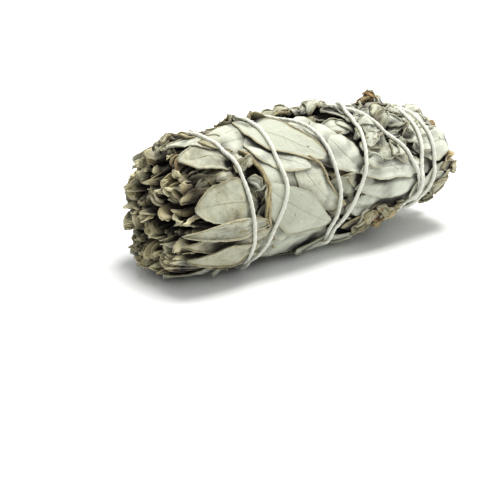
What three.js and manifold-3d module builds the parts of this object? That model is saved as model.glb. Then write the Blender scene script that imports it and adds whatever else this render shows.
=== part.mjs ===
// White sage smudge stick: seven dried sprigs bundled side by side and bound with one cotton string.
// Millimetres, +Z up. The bundle lies along X on a flat spot, leaf tips at -X and cut stems at +X.
// A place on the bundle is given by its station, the distance along the bundle from the leaf tips,
// and by its angle round the bundle in degrees, from the top over the front side at -Y to the underside.
import * as THREE from "three";
import Module from "manifold-3d";

const wasm = await Module();
wasm.setup();

// Driving sizes of the bundle
const AXIS_HEIGHT = 19.4;
const MID_STATION = 49.46;
const TIP_STATION = -3;
const BUTT_STATION = 99;
const BUTT_INSET = 2.4;
const CORE_START = 11;
const CORE_END = 92;
const CORE_DEPTH = 3.1;
const CORE_STEPS = 4;
const HEART_RADIUS = 7;
const SPRIGS = 6;
const SECTOR = 360 / SPRIGS;
const UNDER_SPRIG = SPRIGS / 2;
const GAP = 0.3;
const LEAF_GAP = 0.44;
const SMOOTHING = 0.04;

// Radius of the bundle's outside along its length, as station and radius
const TAPER = [
  [-6, 17.0], [2, 19.6], [10, 20.3], [30, 20.1], [50, 19.4],
  [70, 18.6], [84, 17.8], [92, 16.8], [98, 15.3], [106, 13.0],
];

// Lumps of the outside: height, count round the bundle, slant along it in millimetres, and shift
const LUMPS = [[0.35, 3, 9, 0], [0.25, 5, -6, 1]];
const CROWN = { rise: 2.6, angle: -12, reach: 42, station: 50, length: 32 };
const HOLLOW = { depth: 4, angle: 150, reach: 40, station: 97, length: 18 };

// Leaves
const BLADE = 0.7;
const LOWEST_LAYER = -1.9;
const LAYER_STEP = 1.05;
const ROOT_DEPTH = -3.7;
const ROOT_SHARE = 0.3;
const EDGE_CURL = 0.35;
const EDGE_WAVE = 0.05;
const LARGE_LEAF = 13;
const LEAF_CLEARANCE = 0.75;
const UNDER_STRING = 2;
const FLOOR_GAP = 0.35;

// Stems
const STEM_RADIUS = 1.7;
const STEM_TAPER = 0.2;
const STEM_SIDES = 8;
const STEM_STEPS = 2;
const STEM_CIRCLE = 11.6;
const STEM_TURN = 6;
const STEM_START = 34;
const STEM_END = 103;
const STEM_STAGGER = 1.3;

// String
const STRING_RADIUS = 0.72;
const STRING_SIT = 0.9;
const STRING_STEP = 20;
const STRING_SIDES = 6;
const STRING_CLEARANCE = 1.05;
const DENT_DEPTH = 0.8;
const DENT_REACH = 3.5;
const KNOT_RADIUS = 1.9;
const TAIL_STEPS = 4;
const STRETCH_LAP = 4;

// Route of the string, as station and running angle: over the front, under, up the back, seven times
const STRING_ROUTE = [
  [18.0, -118], [16.6, -60], [16.6, -10],
  [17.5, 16], [19.2, 36], [20.2, 55], [21.0, 77], [21.4, 100], [22.4, 128],
  [26.0, 180], [30.5, 240], [34.0, 300], [38.0, 335], [43.5, 352], [48.5, 368],
  [51.0, 384], [52.5, 408], [53.2, 427], [53.8, 443], [52.8, 464], [51.4, 482],
  [55.0, 540], [61.0, 610], [65.5, 665], [67.6, 700], [69.6, 720],
  [73.2, 740], [77.2, 760], [80.8, 776], [83.0, 792], [84.3, 805], [84.8, 826], [84.2, 850],
  [86.0, 905], [90.0, 970], [93.2, 1030], [93.6, 1062], [92.2, 1085],
  [91.6, 1105], [92.0, 1126], [91.8, 1148], [90.8, 1170], [88.4, 1188], [83.2, 1204],
  [80.6, 1255], [84.5, 1325], [89.0, 1385], [90.3, 1422], [88.6, 1446],
  [87.9, 1462], [88.0, 1482], [87.0, 1503], [85.2, 1526], [83.2, 1548], [79.8, 1564],
  [75.5, 1620], [72.2, 1690], [70.8, 1750], [69.6, 1782],
  [67.6, 1810], [66.8, 1834], [64.8, 1857], [62.8, 1876], [59.2, 1896], [55.5, 1912], [52.5, 1926],
  [46.0, 1980], [40.0, 2045], [36.6, 2110], [35.4, 2142], [34.8, 2167],
  [34.2, 2191], [34.0, 2210], [34.0, 2226], [32.2, 2241], [29.2, 2259], [27.2, 2279], [25.4, 2294],
  [22.0, 2340], [18.0, 2402],
];

// Angles where the string is parted, so that no stretch crosses itself before they are joined
const STRETCH_ENDS = [-118, 902, 1242, 2402];

// The two short ends past the knot, as station and angle
const TAILS = [
  [[18.0, 242], [14.0, 239], [9.5, 234]],
  [[18.0, 242], [21.5, 250], [23.0, 262]],
];

// Leaves on the front, each as station and angle of its root, station and angle of its tip, width,
// layer from 0 inside to 2 outside, sideways bow, and how far the tip lifts off
const FRONT_LEAVES = [
  [37, 10, 9, 14, 15, 1, 0, 0.2],
  [33, 128, 24, 26, 17, 1, 8, 0.2],
  [27, 64, 51, 111, 14, 2, 1, 0.0],
  [40, 44, 55, 99, 10, 1, 2.5, 0.3],
  [31, -14, 50, 50, 12, 2, 2, 0.3],
  [27, 18, 44, 56, 8, 1, 1, 0.4],
  [47, -18, 58, 64, 14, 0, 3, 0.2],
  [54, 34, 65, 69, 9, 1, 1, 0.5],
  [86, 76, 62, 69, 7.5, 2, 1, 0.3],
  [87, 90, 60, 85, 9, 1, 1, 0.2],
  [52, 133, 20, 112, 17, 1, 1, 0.1],
  [62, 152, 28, 142, 14, 0, 0, 0.1],
  [80, 126, 56, 122, 10, 1, 0, 0.3],
  [86, 104, 57, 104, 11, 0, 0, 0.2],
  [78, 52, 64, 46, 7, 2, 0, 0.8],
  [84, 64, 71, 58, 7, 1, 0, 0.9],
  [90, 46, 78, 40, 11, 1, 1, 0.3],
  [85, 26, 69, 16, 9, 1, 0, 0.6],
  [77, 6, 60, -2, 9, 1, 1, 0.7],
  [92, 8, 77, 2, 9, 2, 0, 0.6],
  [75, 34, 65, 30, 6, 2, 0, 1.0],
  [101, 28, 85, 26, 9, 1, 0, 0.3],
  [102, 52, 84, 56, 10, 2, 0, 0.2],
  [102, 76, 84, 78, 9, 1, 1, 0.3],
  [101, 98, 81, 104, 10, 2, 0, 0.2],
  [21, 30, 3, 24, 9, 1, 0, 0.6],
  [24, 75, 2, 70, 11, 2, 1, 0.3],
  [27, 94, -2, 91, 5, 2, 0, 0.5],
  [27, 105, -2, 102, 6, 1, 0, 0.9],
  [25, 118, 0, 116, 7, 2, 0, 0.6],
  [21, 8, 4, 2, 9, 1, 0, 0.6],
  [53, -20, 37, -14, 7, 2, 1, 2.2],
  [42, -28, 57, -20, 7, 1, 0, 1.8],
  [76, -22, 86, -12, 5, 2, 0, 3.0],
];

// Leaves on the back and underside, by a rule in rows along the bundle and lanes round it
const BACK_ROWS = [24, 48, 72, 98];
const BACK_FIRST_LANE = 158;
const BACK_LANE_STEP = 36;
const BACK_LANES = 5;
const BACK_LENGTH = 26;
const BACK_WIDTH = 13;

// Folded leaves standing out of both ends, in rings as radius, count in a sprig and width
const TIP_RINGS = { outer: [[17.0, 3, 6.8], [12.4, 3, 5.6]], heart: [[6.6, 5, 5.6], [2.4, 2, 5.0]] };
const BUTT_RINGS = { outer: [[12.6, 2, 5.5]], heart: [[4.6, 3, 4.5]] };
const STANDING_ROOT = 4;
const TIP_DOME = { reach: 20, near: 0.3, far: 3.1, fullAngle: 172 };

// Leaves pressed flat under the bundle, on which it rests: middle station, length and width
const PADS = [[35.8, 15, 10], [65.5, 15, 10]];
const PAD_HEIGHT = 3.6;

const WHITE_SAGE = new THREE.MeshStandardMaterial({ color: 0xc6ccb8, roughness: 0.95, metalness: 0 });
const WOODY_STEM = new THREE.MeshStandardMaterial({ color: 0x8a6f4a, roughness: 0.85, metalness: 0 });
const COTTON = new THREE.MeshStandardMaterial({ color: 0xf1eee4, roughness: 0.9, metalness: 0 });

// Numbers and places

const radians = THREE.MathUtils.degToRad;
const degrees = THREE.MathUtils.radToDeg;
const clamp = THREE.MathUtils.clamp;

let seed = 2026;

// Seeded random numbers from 0 to 1
function random() {
  seed = (Math.imul(seed, 1664525) + 1013904223) >>> 0;
  return seed / 4294967296;
}

function spread(amount) {
  return (random() * 2 - 1) * amount;
}

function bump(distance, reach) {
  return Math.exp(-((distance / reach) ** 2));
}

// A smooth curve through pairs of numbers: its value where the key column reaches a number
function smoothValue(pairs, at, keyColumn, valueColumn) {
  let k = 0;
  while (k < pairs.length - 2 && pairs[k + 1][keyColumn] < at) {
    k += 1;
  }
  const pair = (i) => pairs[clamp(i, 0, pairs.length - 1)];
  const key = (i) => pair(i)[keyColumn];
  const value = (i) => pair(i)[valueColumn];
  const span = key(k + 1) - key(k);
  const slope = (i) => ((value(i + 1) - value(i - 1)) / (key(i + 1) - key(i - 1))) * span;
  const t = clamp((at - key(k)) / span, 0, 1);
  const rise = value(k + 1) - value(k);
  const square = 3 * rise - 2 * slope(k) - slope(k + 1);
  const cube = slope(k) + slope(k + 1) - 2 * rise;
  return value(k) + t * (slope(k) + t * (square + t * cube));
}

// Radius of the bundle's outside: tapered, lumpy, fuller along the top, hollow under the stem end
function bundleRadius(station, angle) {
  const turn = THREE.MathUtils.euclideanModulo(angle + 180, 360) - 180;
  const round = bump(turn - CROWN.angle, CROWN.reach);
  const crown = CROWN.rise * round * bump(station - CROWN.station, CROWN.length);
  const past = THREE.MathUtils.euclideanModulo(angle - HOLLOW.angle + 180, 360) - 180;
  const under = bump(past, HOLLOW.reach);
  const hollow = HOLLOW.depth * under * bump(station - HOLLOW.station, HOLLOW.length);
  const lumps = LUMPS.map(([height, count, slant, shift]) => {
    return height * Math.sin(count * radians(turn) + station / slant + shift);
  });
  return smoothValue(TAPER, station, 0, 1) + crown + lumps[0] + lumps[1] - hollow;
}

// The point at a station, angle and radius, kept a clearance above the table
function place(station, angle, radius, clearance) {
  const across = -radius * Math.sin(radians(angle));
  const height = AXIS_HEIGHT + radius * Math.cos(radians(angle));
  return new THREE.Vector3(station - MID_STATION, across, Math.max(height, clearance));
}

function stringStation(angle) {
  return smoothValue(STRING_ROUTE, angle, 1, 0);
}

// How deep the string presses the leaves in at a place
function dent(station, angle) {
  const first = STRING_ROUTE[0][1];
  const last = STRING_ROUTE.at(-1)[1];
  let nearest = Infinity;
  for (let turn = first + THREE.MathUtils.euclideanModulo(angle - first, 360); turn <= last; turn += 360) {
    nearest = Math.min(nearest, Math.abs(stringStation(turn) - station));
  }
  return DENT_DEPTH * bump(nearest, DENT_REACH);
}

// Solids

function solidFromTriangles(points, triangles) {
  const vertProperties = new Float32Array(points.flatMap((p) => [p.x, p.y, p.z]));
  const mesh = new wasm.Mesh({ numProp: 3, vertProperties, triVerts: new Uint32Array(triangles.flat()) });
  return new wasm.Manifold(mesh);
}

// A solid from a three.js geometry moved to a place, with its equal corners merged
function solidFromGeometry(geometry, x, y, z) {
  const flat = geometry.index ? geometry.toNonIndexed() : geometry;
  const position = flat.getAttribute("position");
  const points = [];
  const known = new Map();
  const corners = [];
  for (let i = 0; i < position.count; i += 1) {
    const p = new THREE.Vector3().fromBufferAttribute(position, i);
    const name = p.toArray().map((value) => value.toFixed(4)).join(" ");
    if (!known.has(name)) {
      known.set(name, points.length);
      points.push(p.add(new THREE.Vector3(x, y, z)));
    }
    corners.push(known.get(name));
  }
  const triangles = [];
  for (let i = 0; i < corners.length; i += 3) {
    triangles.push(corners.slice(i, i + 3));
  }
  return solidFromTriangles(points, triangles.filter((corner) => new Set(corner).size === 3));
}

function joined(solids) {
  return wasm.Manifold.union(solids);
}

// The one body that holds together: loose scraps go, and a pocket that joining sealed is filled
function mainBody(solid) {
  const largest = (whole) => whole.decompose().sort((a, b) => b.volume() - a.volume())[0];
  const smooth = largest(solid).simplify(SMOOTHING);
  // Read back from its mesh, a pocket that touches the outside at one corner counts as separate
  return largest(new wasm.Manifold(smooth.getMesh()));
}

function meshOf(name, solid, material) {
  const mesh = solid.getMesh();
  const geometry = new THREE.BufferGeometry();
  geometry.setAttribute("position", new THREE.BufferAttribute(new Float32Array(mesh.vertProperties), 3));
  geometry.setIndex(new THREE.BufferAttribute(new Uint32Array(mesh.triVerts), 1));
  geometry.computeVertexNormals();
  const result = new THREE.Mesh(geometry, material);
  result.name = name;
  return result;
}

// A closed solid through rings of points, with each end closed to the middle of its ring
function loft(rings) {
  const count = rings[0].length;
  const points = rings.flat();
  const triangles = [];
  for (let k = 0; k < rings.length - 1; k += 1) {
    for (let j = 0; j < count; j += 1) {
      const a = k * count + j;
      const b = k * count + ((j + 1) % count);
      triangles.push([a, b, a + count], [b, b + count, a + count]);
    }
  }
  const closeEnd = (first, ring, turned) => {
    const middle = points.length;
    points.push(ring.reduce((sum, p) => sum.add(p), new THREE.Vector3()).divideScalar(count));
    for (let j = 0; j < count; j += 1) {
      const edge = [first + j, first + ((j + 1) % count)];
      triangles.push([...(turned ? edge.reverse() : edge), middle]);
    }
  };
  closeEnd(0, rings[0], true);
  closeEnd((rings.length - 1) * count, rings.at(-1), false);
  return solidFromTriangles(points, triangles);
}

// A thin closed blade with both faces at half its thickness from a surface, and split alike
function blade(surface, cellsAlong, cellsAcross, thickness) {
  const columns = cellsAcross + 1;
  const under = columns * (cellsAlong + 1);
  const nudge = 0.02;
  const upper = [];
  const lower = [];
  for (let i = 0; i <= cellsAlong; i += 1) {
    for (let j = 0; j <= cellsAcross; j += 1) {
      const u = i / cellsAlong;
      const v = (2 * j) / cellsAcross - 1;
      const along = surface(u + nudge, v).sub(surface(u - nudge, v));
      const sideways = surface(u, v + nudge).sub(surface(u, v - nudge));
      const normal = along.cross(sideways).normalize();
      upper.push(surface(u, v).addScaledVector(normal, thickness / 2));
      lower.push(surface(u, v).addScaledVector(normal, -thickness / 2));
    }
  }
  const triangles = [];
  for (let i = 0; i < cellsAlong; i += 1) {
    for (let j = 0; j < cellsAcross; j += 1) {
      const a = i * columns + j;
      const b = a + columns;
      triangles.push([a, b, a + 1], [b, b + 1, a + 1]);
      triangles.push([under + a, under + a + 1, under + b], [under + b, under + a + 1, under + b + 1]);
    }
  }
  const rim = [];
  for (let j = 0; j < cellsAcross; j += 1) {
    rim.push(j);
  }
  for (let i = 0; i < cellsAlong; i += 1) {
    rim.push(i * columns + cellsAcross);
  }
  for (let j = cellsAcross; j > 0; j -= 1) {
    rim.push(cellsAlong * columns + j);
  }
  for (let i = cellsAlong; i > 0; i -= 1) {
    rim.push(i * columns);
  }
  rim.forEach((a, k) => {
    const b = rim[(k + 1) % rim.length];
    triangles.push([a, b, under + a], [b, under + b, under + a]);
  });
  return solidFromTriangles([...upper, ...lower], triangles);
}

// Leaves

// Half width of a sage leaf along its length, from its narrow root to its blunt point
function leafProfile(u) {
  const t = clamp(u, 0, 1);
  return 0.22 * (1 - t) + 1.05 * Math.sin(Math.PI * t ** 0.85) ** 0.75 * (1 - 0.15 * t) + 0.1 * t;
}

// A leaf that lies on the bundle with its root sunk in and its edges waved, grown on all sides by grow
function lyingLeaf(leaf, grow) {
  const { from, to, width, layer, bow, lift, wave, phase } = leaf;
  const arc = radians(1) * bundleRadius((from[0] + to[0]) / 2, (from[1] + to[1]) / 2);
  const along = new THREE.Vector2(to[0] - from[0], (to[1] - from[1]) * arc);
  const length = along.length();
  along.normalize();
  const settled = LOWEST_LAYER + LAYER_STEP * layer;
  const surface = (share, across) => {
    const u = (share - 0.5) * (1 + (2 * grow) / length) + 0.5;
    const half = (width / 2) * leafProfile(u) + EDGE_WAVE * width * Math.sin(9 * u + phase) * across;
    const sideways = bow * 4 * u * (1 - u) + (half + grow) * across;
    const station = from[0] + along.x * u * length - along.y * sideways;
    const angle = from[1] + (along.y * u * length + along.x * sideways) / arc;
    const sunk = (ROOT_DEPTH - settled) * Math.max(0, 1 - u / ROOT_SHARE) ** 2;
    const curl = EDGE_CURL * across ** 2 + wave * across * Math.sin(7 * u + phase);
    const pressed = dent(station, angle);
    const radius = bundleRadius(station, angle) - pressed + settled + sunk + lift * u * u + curl;
    return place(station, angle, radius, LEAF_CLEARANCE + (UNDER_STRING * pressed) / DENT_DEPTH);
  };
  return blade(surface, width < LARGE_LEAF ? 3 : 4, 2, BLADE + 2 * grow);
}

// A folded leaf that stands out of an end of the bundle, grown on all sides by grow
function standingLeaf(leaf, grow) {
  const { start, end, radius, angle, width, facing, curl, twist, splay, ragged } = leaf;
  const outward = new THREE.Vector3(0, -Math.sin(radians(angle)), Math.cos(radians(angle)));
  const surface = (share, across) => {
    const u = (share - 0.5) * (1 + (2 * grow) / Math.abs(end - start)) + 0.5;
    const turn = radians(facing + twist * u);
    const flat = new THREE.Vector3(0, Math.cos(turn), Math.sin(turn));
    const fold = new THREE.Vector3(0, -Math.sin(turn), Math.cos(turn));
    const half = (width / 2) * (1 - 0.35 * clamp(u, 0, 1) ** 2);
    const jag = ragged * Math.sin(2.4 * across + 5 * curl) * Math.max(0, u);
    const point = new THREE.Vector3(start + (end - start) * u + jag - MID_STATION, 0, AXIS_HEIGHT);
    point.addScaledVector(outward, radius + splay * u * u);
    point.addScaledVector(flat, (half + grow) * across);
    point.addScaledVector(fold, half * curl * (across ** 2 - 0.5));
    point.z = Math.max(point.z, LEAF_CLEARANCE);
    return point;
  };
  return blade(surface, 2, 2, BLADE + 2 * grow);
}

// Where the leaf tips end: a dome, cut back along the top
function domeStation(radius, angle) {
  const { reach, near, far, fullAngle } = TIP_DOME;
  return TIP_STATION + (radius / reach) ** 2 * (near + far * (1 - Math.cos(radians(angle - fullAngle))));
}

function frontLeaf([rootStation, rootAngle, tipStation, tipAngle, width, layer, bow, lift]) {
  const from = [rootStation, rootAngle];
  const to = [tipStation, tipAngle];
  return { from, to, width, layer, bow, lift, wave: 0.25 + spread(0.15), phase: random() * 6 };
}

function backLeaf(row, lane) {
  const angle = BACK_FIRST_LANE + BACK_LANE_STEP * (lane + 0.5 * (row % 2)) + spread(4);
  const station = BACK_ROWS[row] + spread(3);
  const tipStation = station - BACK_LENGTH + spread(3);
  const tipAngle = angle + spread(22);
  return {
    from: [station, angle],
    to: [Math.max(tipStation, domeStation(TIP_DOME.reach, tipAngle)), tipAngle],
    width: BACK_WIDTH + spread(2),
    layer: (row + 2 * lane) % 3,
    bow: spread(1.5),
    lift: 0.3 + 0.6 * random(),
    wave: 0.25 + spread(0.15),
    phase: random() * 6,
  };
}

function lyingLeaves() {
  const leaves = FRONT_LEAVES.map(frontLeaf);
  for (let row = 0; row < BACK_ROWS.length; row += 1) {
    for (let lane = 0; lane < BACK_LANES; lane += 1) {
      leaves.push(backLeaf(row, lane));
    }
  }
  return leaves;
}

// The folded leaves of one sprig at one end, in rings between the sprig's two borders
function standingLeaves(rings, middle, span, atTips) {
  const leaves = [];
  rings.forEach(([radius, count, size], ring) => {
    for (let k = 0; k < count; k += 1) {
      const angle = middle + span * ((k + 0.5) / count - 0.5) + spread(3);
      const tip = domeStation(radius, angle) + 1.4 + spread(1.6);
      const butt = BUTT_STATION + spread(1.8);
      leaves.push({
        start: atTips ? CORE_START + STANDING_ROOT : CORE_END - STANDING_ROOT,
        end: atTips ? Math.max(tip, TIP_STATION) : butt,
        radius: atTips ? radius : Math.min(radius, bundleRadius(BUTT_STATION, angle) - BUTT_INSET),
        angle,
        width: size + spread(1.2),
        facing: -angle + spread(ring === 0 ? 22 : 45),
        curl: spread(0.3) + (k % 2 ? 0.55 : -0.55),
        twist: spread(35),
        splay: spread(1),
        ragged: 1.2 + spread(0.8),
      });
    }
  });
  return leaves;
}

// The leaf-filled middle of an outer sprig, between wavy borders with its neighbours
function outerCore(index, grow) {
  const border = (k, station) => (k - 0.5) * SECTOR + 4 * Math.sin(station / 15 + k * 1.7);
  const inset = GAP / 2 + 0.1 - grow;
  const rings = [];
  for (let k = 0; k <= CORE_STEPS; k += 1) {
    const station = CORE_START - grow + ((CORE_END - CORE_START + 2 * grow) * k) / CORE_STEPS;
    const from = border(index, station);
    const to = border(index + 1, station);
    const corner = (share, radius) => {
      const angle = from + (to - from) * share - degrees(((share - 0.5) * 2 * inset) / radius);
      return place(station, angle, radius, LEAF_CLEARANCE + 1);
    };
    const depth = CORE_DEPTH - grow;
    const outside = (share) => corner(share, bundleRadius(station, from + (to - from) * share) - depth);
    const inner = HEART_RADIUS + GAP + 0.4;
    rings.push([...[0, 1 / 3, 2 / 3, 1].map(outside), corner(1, inner), corner(0, inner)]);
  }
  return loft(rings);
}

function heartCore() {
  const rings = [];
  for (const station of [CORE_START - 1, (CORE_START + CORE_END) / 2, CORE_END]) {
    const ring = [];
    for (let j = 0; j < 12; j += 1) {
      ring.push(place(station, j * 30, HEART_RADIUS, 0));
    }
    rings.push(ring);
  }
  return loft(rings);
}

// A leaf pressed flat under the bundle
function pad([middle, length, width], grow) {
  const end = length / 2 + grow;
  const side = width / 2 + grow;
  const outline = new THREE.Shape();
  outline.moveTo(-end, 0);
  outline.quadraticCurveTo(-end / 2, -side, 0, -side);
  outline.quadraticCurveTo(end * 0.7, -side, end, 0);
  outline.quadraticCurveTo(end * 0.7, side, 0, side);
  outline.quadraticCurveTo(-end / 2, side, -end, 0);
  const settings = { depth: PAD_HEIGHT + grow, bevelEnabled: false, curveSegments: 3 };
  return solidFromGeometry(new THREE.ExtrudeGeometry(outline, settings), middle - MID_STATION, 0, 0);
}

// Stems

function stem(index, grow) {
  const heart = index === SPRIGS;
  const end = STEM_END - (index % 3) * STEM_STAGGER + 3 * grow;
  const start = STEM_START - grow;
  const rings = [];
  for (let k = 0; k <= STEM_STEPS; k += 1) {
    const share = k / STEM_STEPS;
    const radius = heart ? 0 : STEM_CIRCLE * (1 - 0.12 * share);
    const angle = index * SECTOR + STEM_TURN + 3 * Math.sin(3 * share);
    const middle = place(start + (end - start) * share, angle, radius, 0);
    const reach = STEM_RADIUS * (1 - STEM_TAPER * (1 - share)) + grow;
    const ring = [];
    for (let j = 0; j < STEM_SIDES; j += 1) {
      const turn = (2 * Math.PI * j) / STEM_SIDES;
      ring.push(middle.clone().add(new THREE.Vector3(0, -reach * Math.sin(turn), reach * Math.cos(turn))));
    }
    rings.push(ring);
  }
  return loft(rings);
}

// String

function stringPoint(station, angle) {
  return place(station, angle, bundleRadius(station, angle) + STRING_SIT, STRING_CLEARANCE);
}

// A round cord along places on the bundle, each a station and an angle
function cord(places, radius) {
  const points = places.map(([station, angle]) => stringPoint(station, angle));
  const rings = points.map((point, k) => {
    const before = points[Math.max(0, k - 1)];
    const after = points[Math.min(points.length - 1, k + 1)];
    const forward = after.clone().sub(before).normalize();
    const angle = radians(places[k][1]);
    const side = new THREE.Vector3(0, -Math.sin(angle), Math.cos(angle)).cross(forward).normalize();
    const out = forward.clone().cross(side);
    const ring = [];
    for (let j = 0; j < STRING_SIDES; j += 1) {
      const turn = (2 * Math.PI * j) / STRING_SIDES;
      const corner = point.clone().addScaledVector(side, radius * Math.cos(turn));
      ring.push(corner.addScaledVector(out, radius * Math.sin(turn)));
    }
    return ring;
  });
  return loft(rings);
}

// The string's places between two running angles, lapping a little into the next stretch
function stretchPlaces(from, to, lap) {
  const steps = Math.round((to - from) / STRING_STEP);
  const angles = [];
  for (let j = 0; j <= steps; j += 1) {
    angles.push(from + ((to - from) * j) / steps);
  }
  if (lap) {
    angles.push(to + STRETCH_LAP);
  }
  return angles.map((angle) => [stringStation(angle), angle]);
}

function tailPlaces(tail) {
  const places = [];
  for (let j = 0; j <= TAIL_STEPS; j += 1) {
    const along = (j / TAIL_STEPS) * (tail.length - 1);
    const k = Math.min(tail.length - 2, Math.floor(along));
    const between = (column) => tail[k][column] + (tail[k + 1][column] - tail[k][column]) * (along - k);
    places.push([between(0), between(1)]);
  }
  return places;
}

// The whole string round the bundle, with its knot and ends, grown by grow
function boundString(grow) {
  const solids = TAILS.map((tail) => cord(tailPlaces(tail), STRING_RADIUS + grow));
  for (let k = 0; k < STRETCH_ENDS.length - 1; k += 1) {
    const lap = k < STRETCH_ENDS.length - 2;
    solids.push(cord(stretchPlaces(STRETCH_ENDS[k], STRETCH_ENDS[k + 1], lap), STRING_RADIUS + grow));
  }
  const knot = stringPoint(...TAILS[0][0]);
  solids.push(solidFromGeometry(new THREE.IcosahedronGeometry(KNOT_RADIUS + grow, 1), knot.x, knot.y, knot.z));
  return joined(solids);
}

// Bundle

const lying = lyingLeaves();
const string = boundString(0);
const stringRoom = boundString(GAP);
const sprigIndexes = [3, 2, 1, 0, 4, 5, SPRIGS];
const stemRoom = joined(sprigIndexes.map((index) => stem(index, GAP)));
const slab = new THREE.BoxGeometry(200, 100, 20);
const belowTable = solidFromGeometry(slab, 0, 0, -10);
const belowLeaves = solidFromGeometry(slab, 0, 0, FLOOR_GAP - 10);

// The leaf shapes of one sprig: its core, its lying leaves, and its folded leaves at both ends
function sprigShapes(index, standing, grow, leafGrow) {
  const heart = index === SPRIGS;
  const owner = (leaf) => THREE.MathUtils.euclideanModulo(Math.round(leaf.from[1] / SECTOR), SPRIGS);
  const shapes = [heart ? heartCore() : outerCore(index, grow)];
  lying.filter((leaf) => owner(leaf) === index).forEach((leaf) => shapes.push(lyingLeaf(leaf, leafGrow)));
  standing.forEach((leaf) => shapes.push(standingLeaf(leaf, leafGrow)));
  if (index === UNDER_SPRIG) {
    PADS.forEach((values) => shapes.push(pad(values, grow)));
  }
  return shapes;
}

// Sprigs are laid one after another, and each makes room for the string and for those before it
const group = new THREE.Group();
let taken = joined([stringRoom, stemRoom]);
sprigIndexes.forEach((index, order) => {
  const kind = index === SPRIGS ? "heart" : "outer";
  const middle = index * SECTOR;
  const span = kind === "heart" ? 360 : SECTOR;
  const standing = [
    ...standingLeaves(TIP_RINGS[kind], middle, span, true),
    ...standingLeaves(BUTT_RINGS[kind], middle, span, false),
  ];
  const below = index === UNDER_SPRIG ? belowTable : belowLeaves;
  const leaves = mainBody(joined(sprigShapes(index, standing, 0, 0)).subtract(taken).subtract(below));
  taken = joined([taken, leaves, ...sprigShapes(index, standing, GAP, LEAF_GAP)]);
  group.add(meshOf(`sprig_${order + 1}_leaves`, leaves, WHITE_SAGE));
  group.add(meshOf(`sprig_${order + 1}_stem`, stem(index, 0), WOODY_STEM));
});
group.add(meshOf("string", mainBody(string), COTTON));

export default group;
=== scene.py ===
# %% [markdown]
# # A bound sage smudge stick
#
# This lesson dresses a bundle of dried white sage: seven sprigs laid side by side and bound with
# one cotton string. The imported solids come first, as a fixed frame, and every piece made here takes
# the place of one of them. Lengths are worked out in millimetres, as on the real bundle, and become
# metres where a mesh is made.

import functools
import math

import bmesh
import bpy
import numpy as np
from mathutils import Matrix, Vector


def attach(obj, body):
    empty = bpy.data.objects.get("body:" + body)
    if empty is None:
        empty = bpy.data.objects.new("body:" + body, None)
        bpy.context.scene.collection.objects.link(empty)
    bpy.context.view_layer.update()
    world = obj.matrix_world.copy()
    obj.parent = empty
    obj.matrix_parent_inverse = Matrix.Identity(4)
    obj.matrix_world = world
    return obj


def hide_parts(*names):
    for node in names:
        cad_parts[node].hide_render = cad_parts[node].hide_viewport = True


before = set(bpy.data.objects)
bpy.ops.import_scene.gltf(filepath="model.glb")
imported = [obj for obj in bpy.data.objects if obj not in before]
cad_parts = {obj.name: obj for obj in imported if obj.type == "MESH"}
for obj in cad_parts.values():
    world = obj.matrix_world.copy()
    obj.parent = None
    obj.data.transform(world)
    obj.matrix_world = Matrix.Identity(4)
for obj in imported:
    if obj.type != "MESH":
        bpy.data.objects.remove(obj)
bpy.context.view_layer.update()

# %% [markdown]
# ## Camera
#
# A long lens from a little above looks at the leaf tips and the front of the bundle. From so far
# away the bundle narrows only a little with distance. Turning the camera by hand until it fits
# would be slow, so it is aimed by numbers: one known point has to lie on one known pixel.

# %% Camera
LENS_PIXELS = 1790
IMAGE_PIXELS = 500
SENSOR = 36
AZIMUTH = math.radians(-35.5)
ELEVATION = math.radians(19.0)
DISTANCE = 0.55
AIM = Vector((0.0005, 0, 0.0194))
AIM_PIXEL = (294, 184)

scene = bpy.context.scene
away = Vector((
    math.sin(AZIMUTH) * math.cos(ELEVATION),
    -math.cos(AZIMUTH) * math.cos(ELEVATION),
    math.sin(ELEVATION),
))
camera = bpy.data.objects.new("camera", bpy.data.cameras.new("camera"))
scene.collection.objects.link(camera)
camera.location = AIM + away * DISTANCE
right = Vector((0, 0, 1)).cross(away).normalized()
upward = away.cross(right)
aside = (AIM_PIXEL[0] - IMAGE_PIXELS / 2) / LENS_PIXELS * DISTANCE
above = (IMAGE_PIXELS / 2 - AIM_PIXEL[1]) / LENS_PIXELS * DISTANCE
target = AIM - right * aside - upward * above
camera.rotation_euler = (target - camera.location).to_track_quat("-Z", "Y").to_euler()
camera.data.sensor_width = SENSOR
camera.data.lens = LENS_PIXELS / IMAGE_PIXELS * SENSOR
camera.data.clip_start = 0.01
scene.camera = camera
print("camera at", [round(value, 4) for value in camera.location])

# %% [markdown]
# ## Light
#
# Two large soft lamps and a pale sky light the bundle, so its shadows stay soft. A small lamp would
# draw hard shadows between the leaves.

# %% Lamps and sky
scene.view_settings.view_transform = "Standard"
scene.view_settings.look = "Medium High Contrast"
world = bpy.data.worlds.new("sky")
world.use_nodes = True
world.node_tree.nodes["Background"].inputs["Color"].default_value = (0.97, 0.985, 1, 1)
world.node_tree.nodes["Background"].inputs["Strength"].default_value = 0.5
scene.world = world


def lamp(name, place, size, power, tint):
    """A square soft lamp that faces the bundle."""
    light = bpy.data.lights.new(name, "AREA")
    light.shape = "SQUARE"
    light.size = size
    light.energy = power
    light.color = tint
    made = bpy.data.objects.new(name, light)
    made.location = place
    made.rotation_euler = (AIM - Vector(place)).to_track_quat("-Z", "Y").to_euler()
    scene.collection.objects.link(made)
    return made


lamps = [
    lamp("key_lamp", (0.16, 0.04, 0.8), 0.4, 6.4, (1, 0.985, 0.96)),
    lamp("side_lamp", (0.75, -0.35, 0.4), 0.4, 1.3, (0.98, 0.99, 1)),
]
print("lamps", [each.name for each in lamps])

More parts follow.
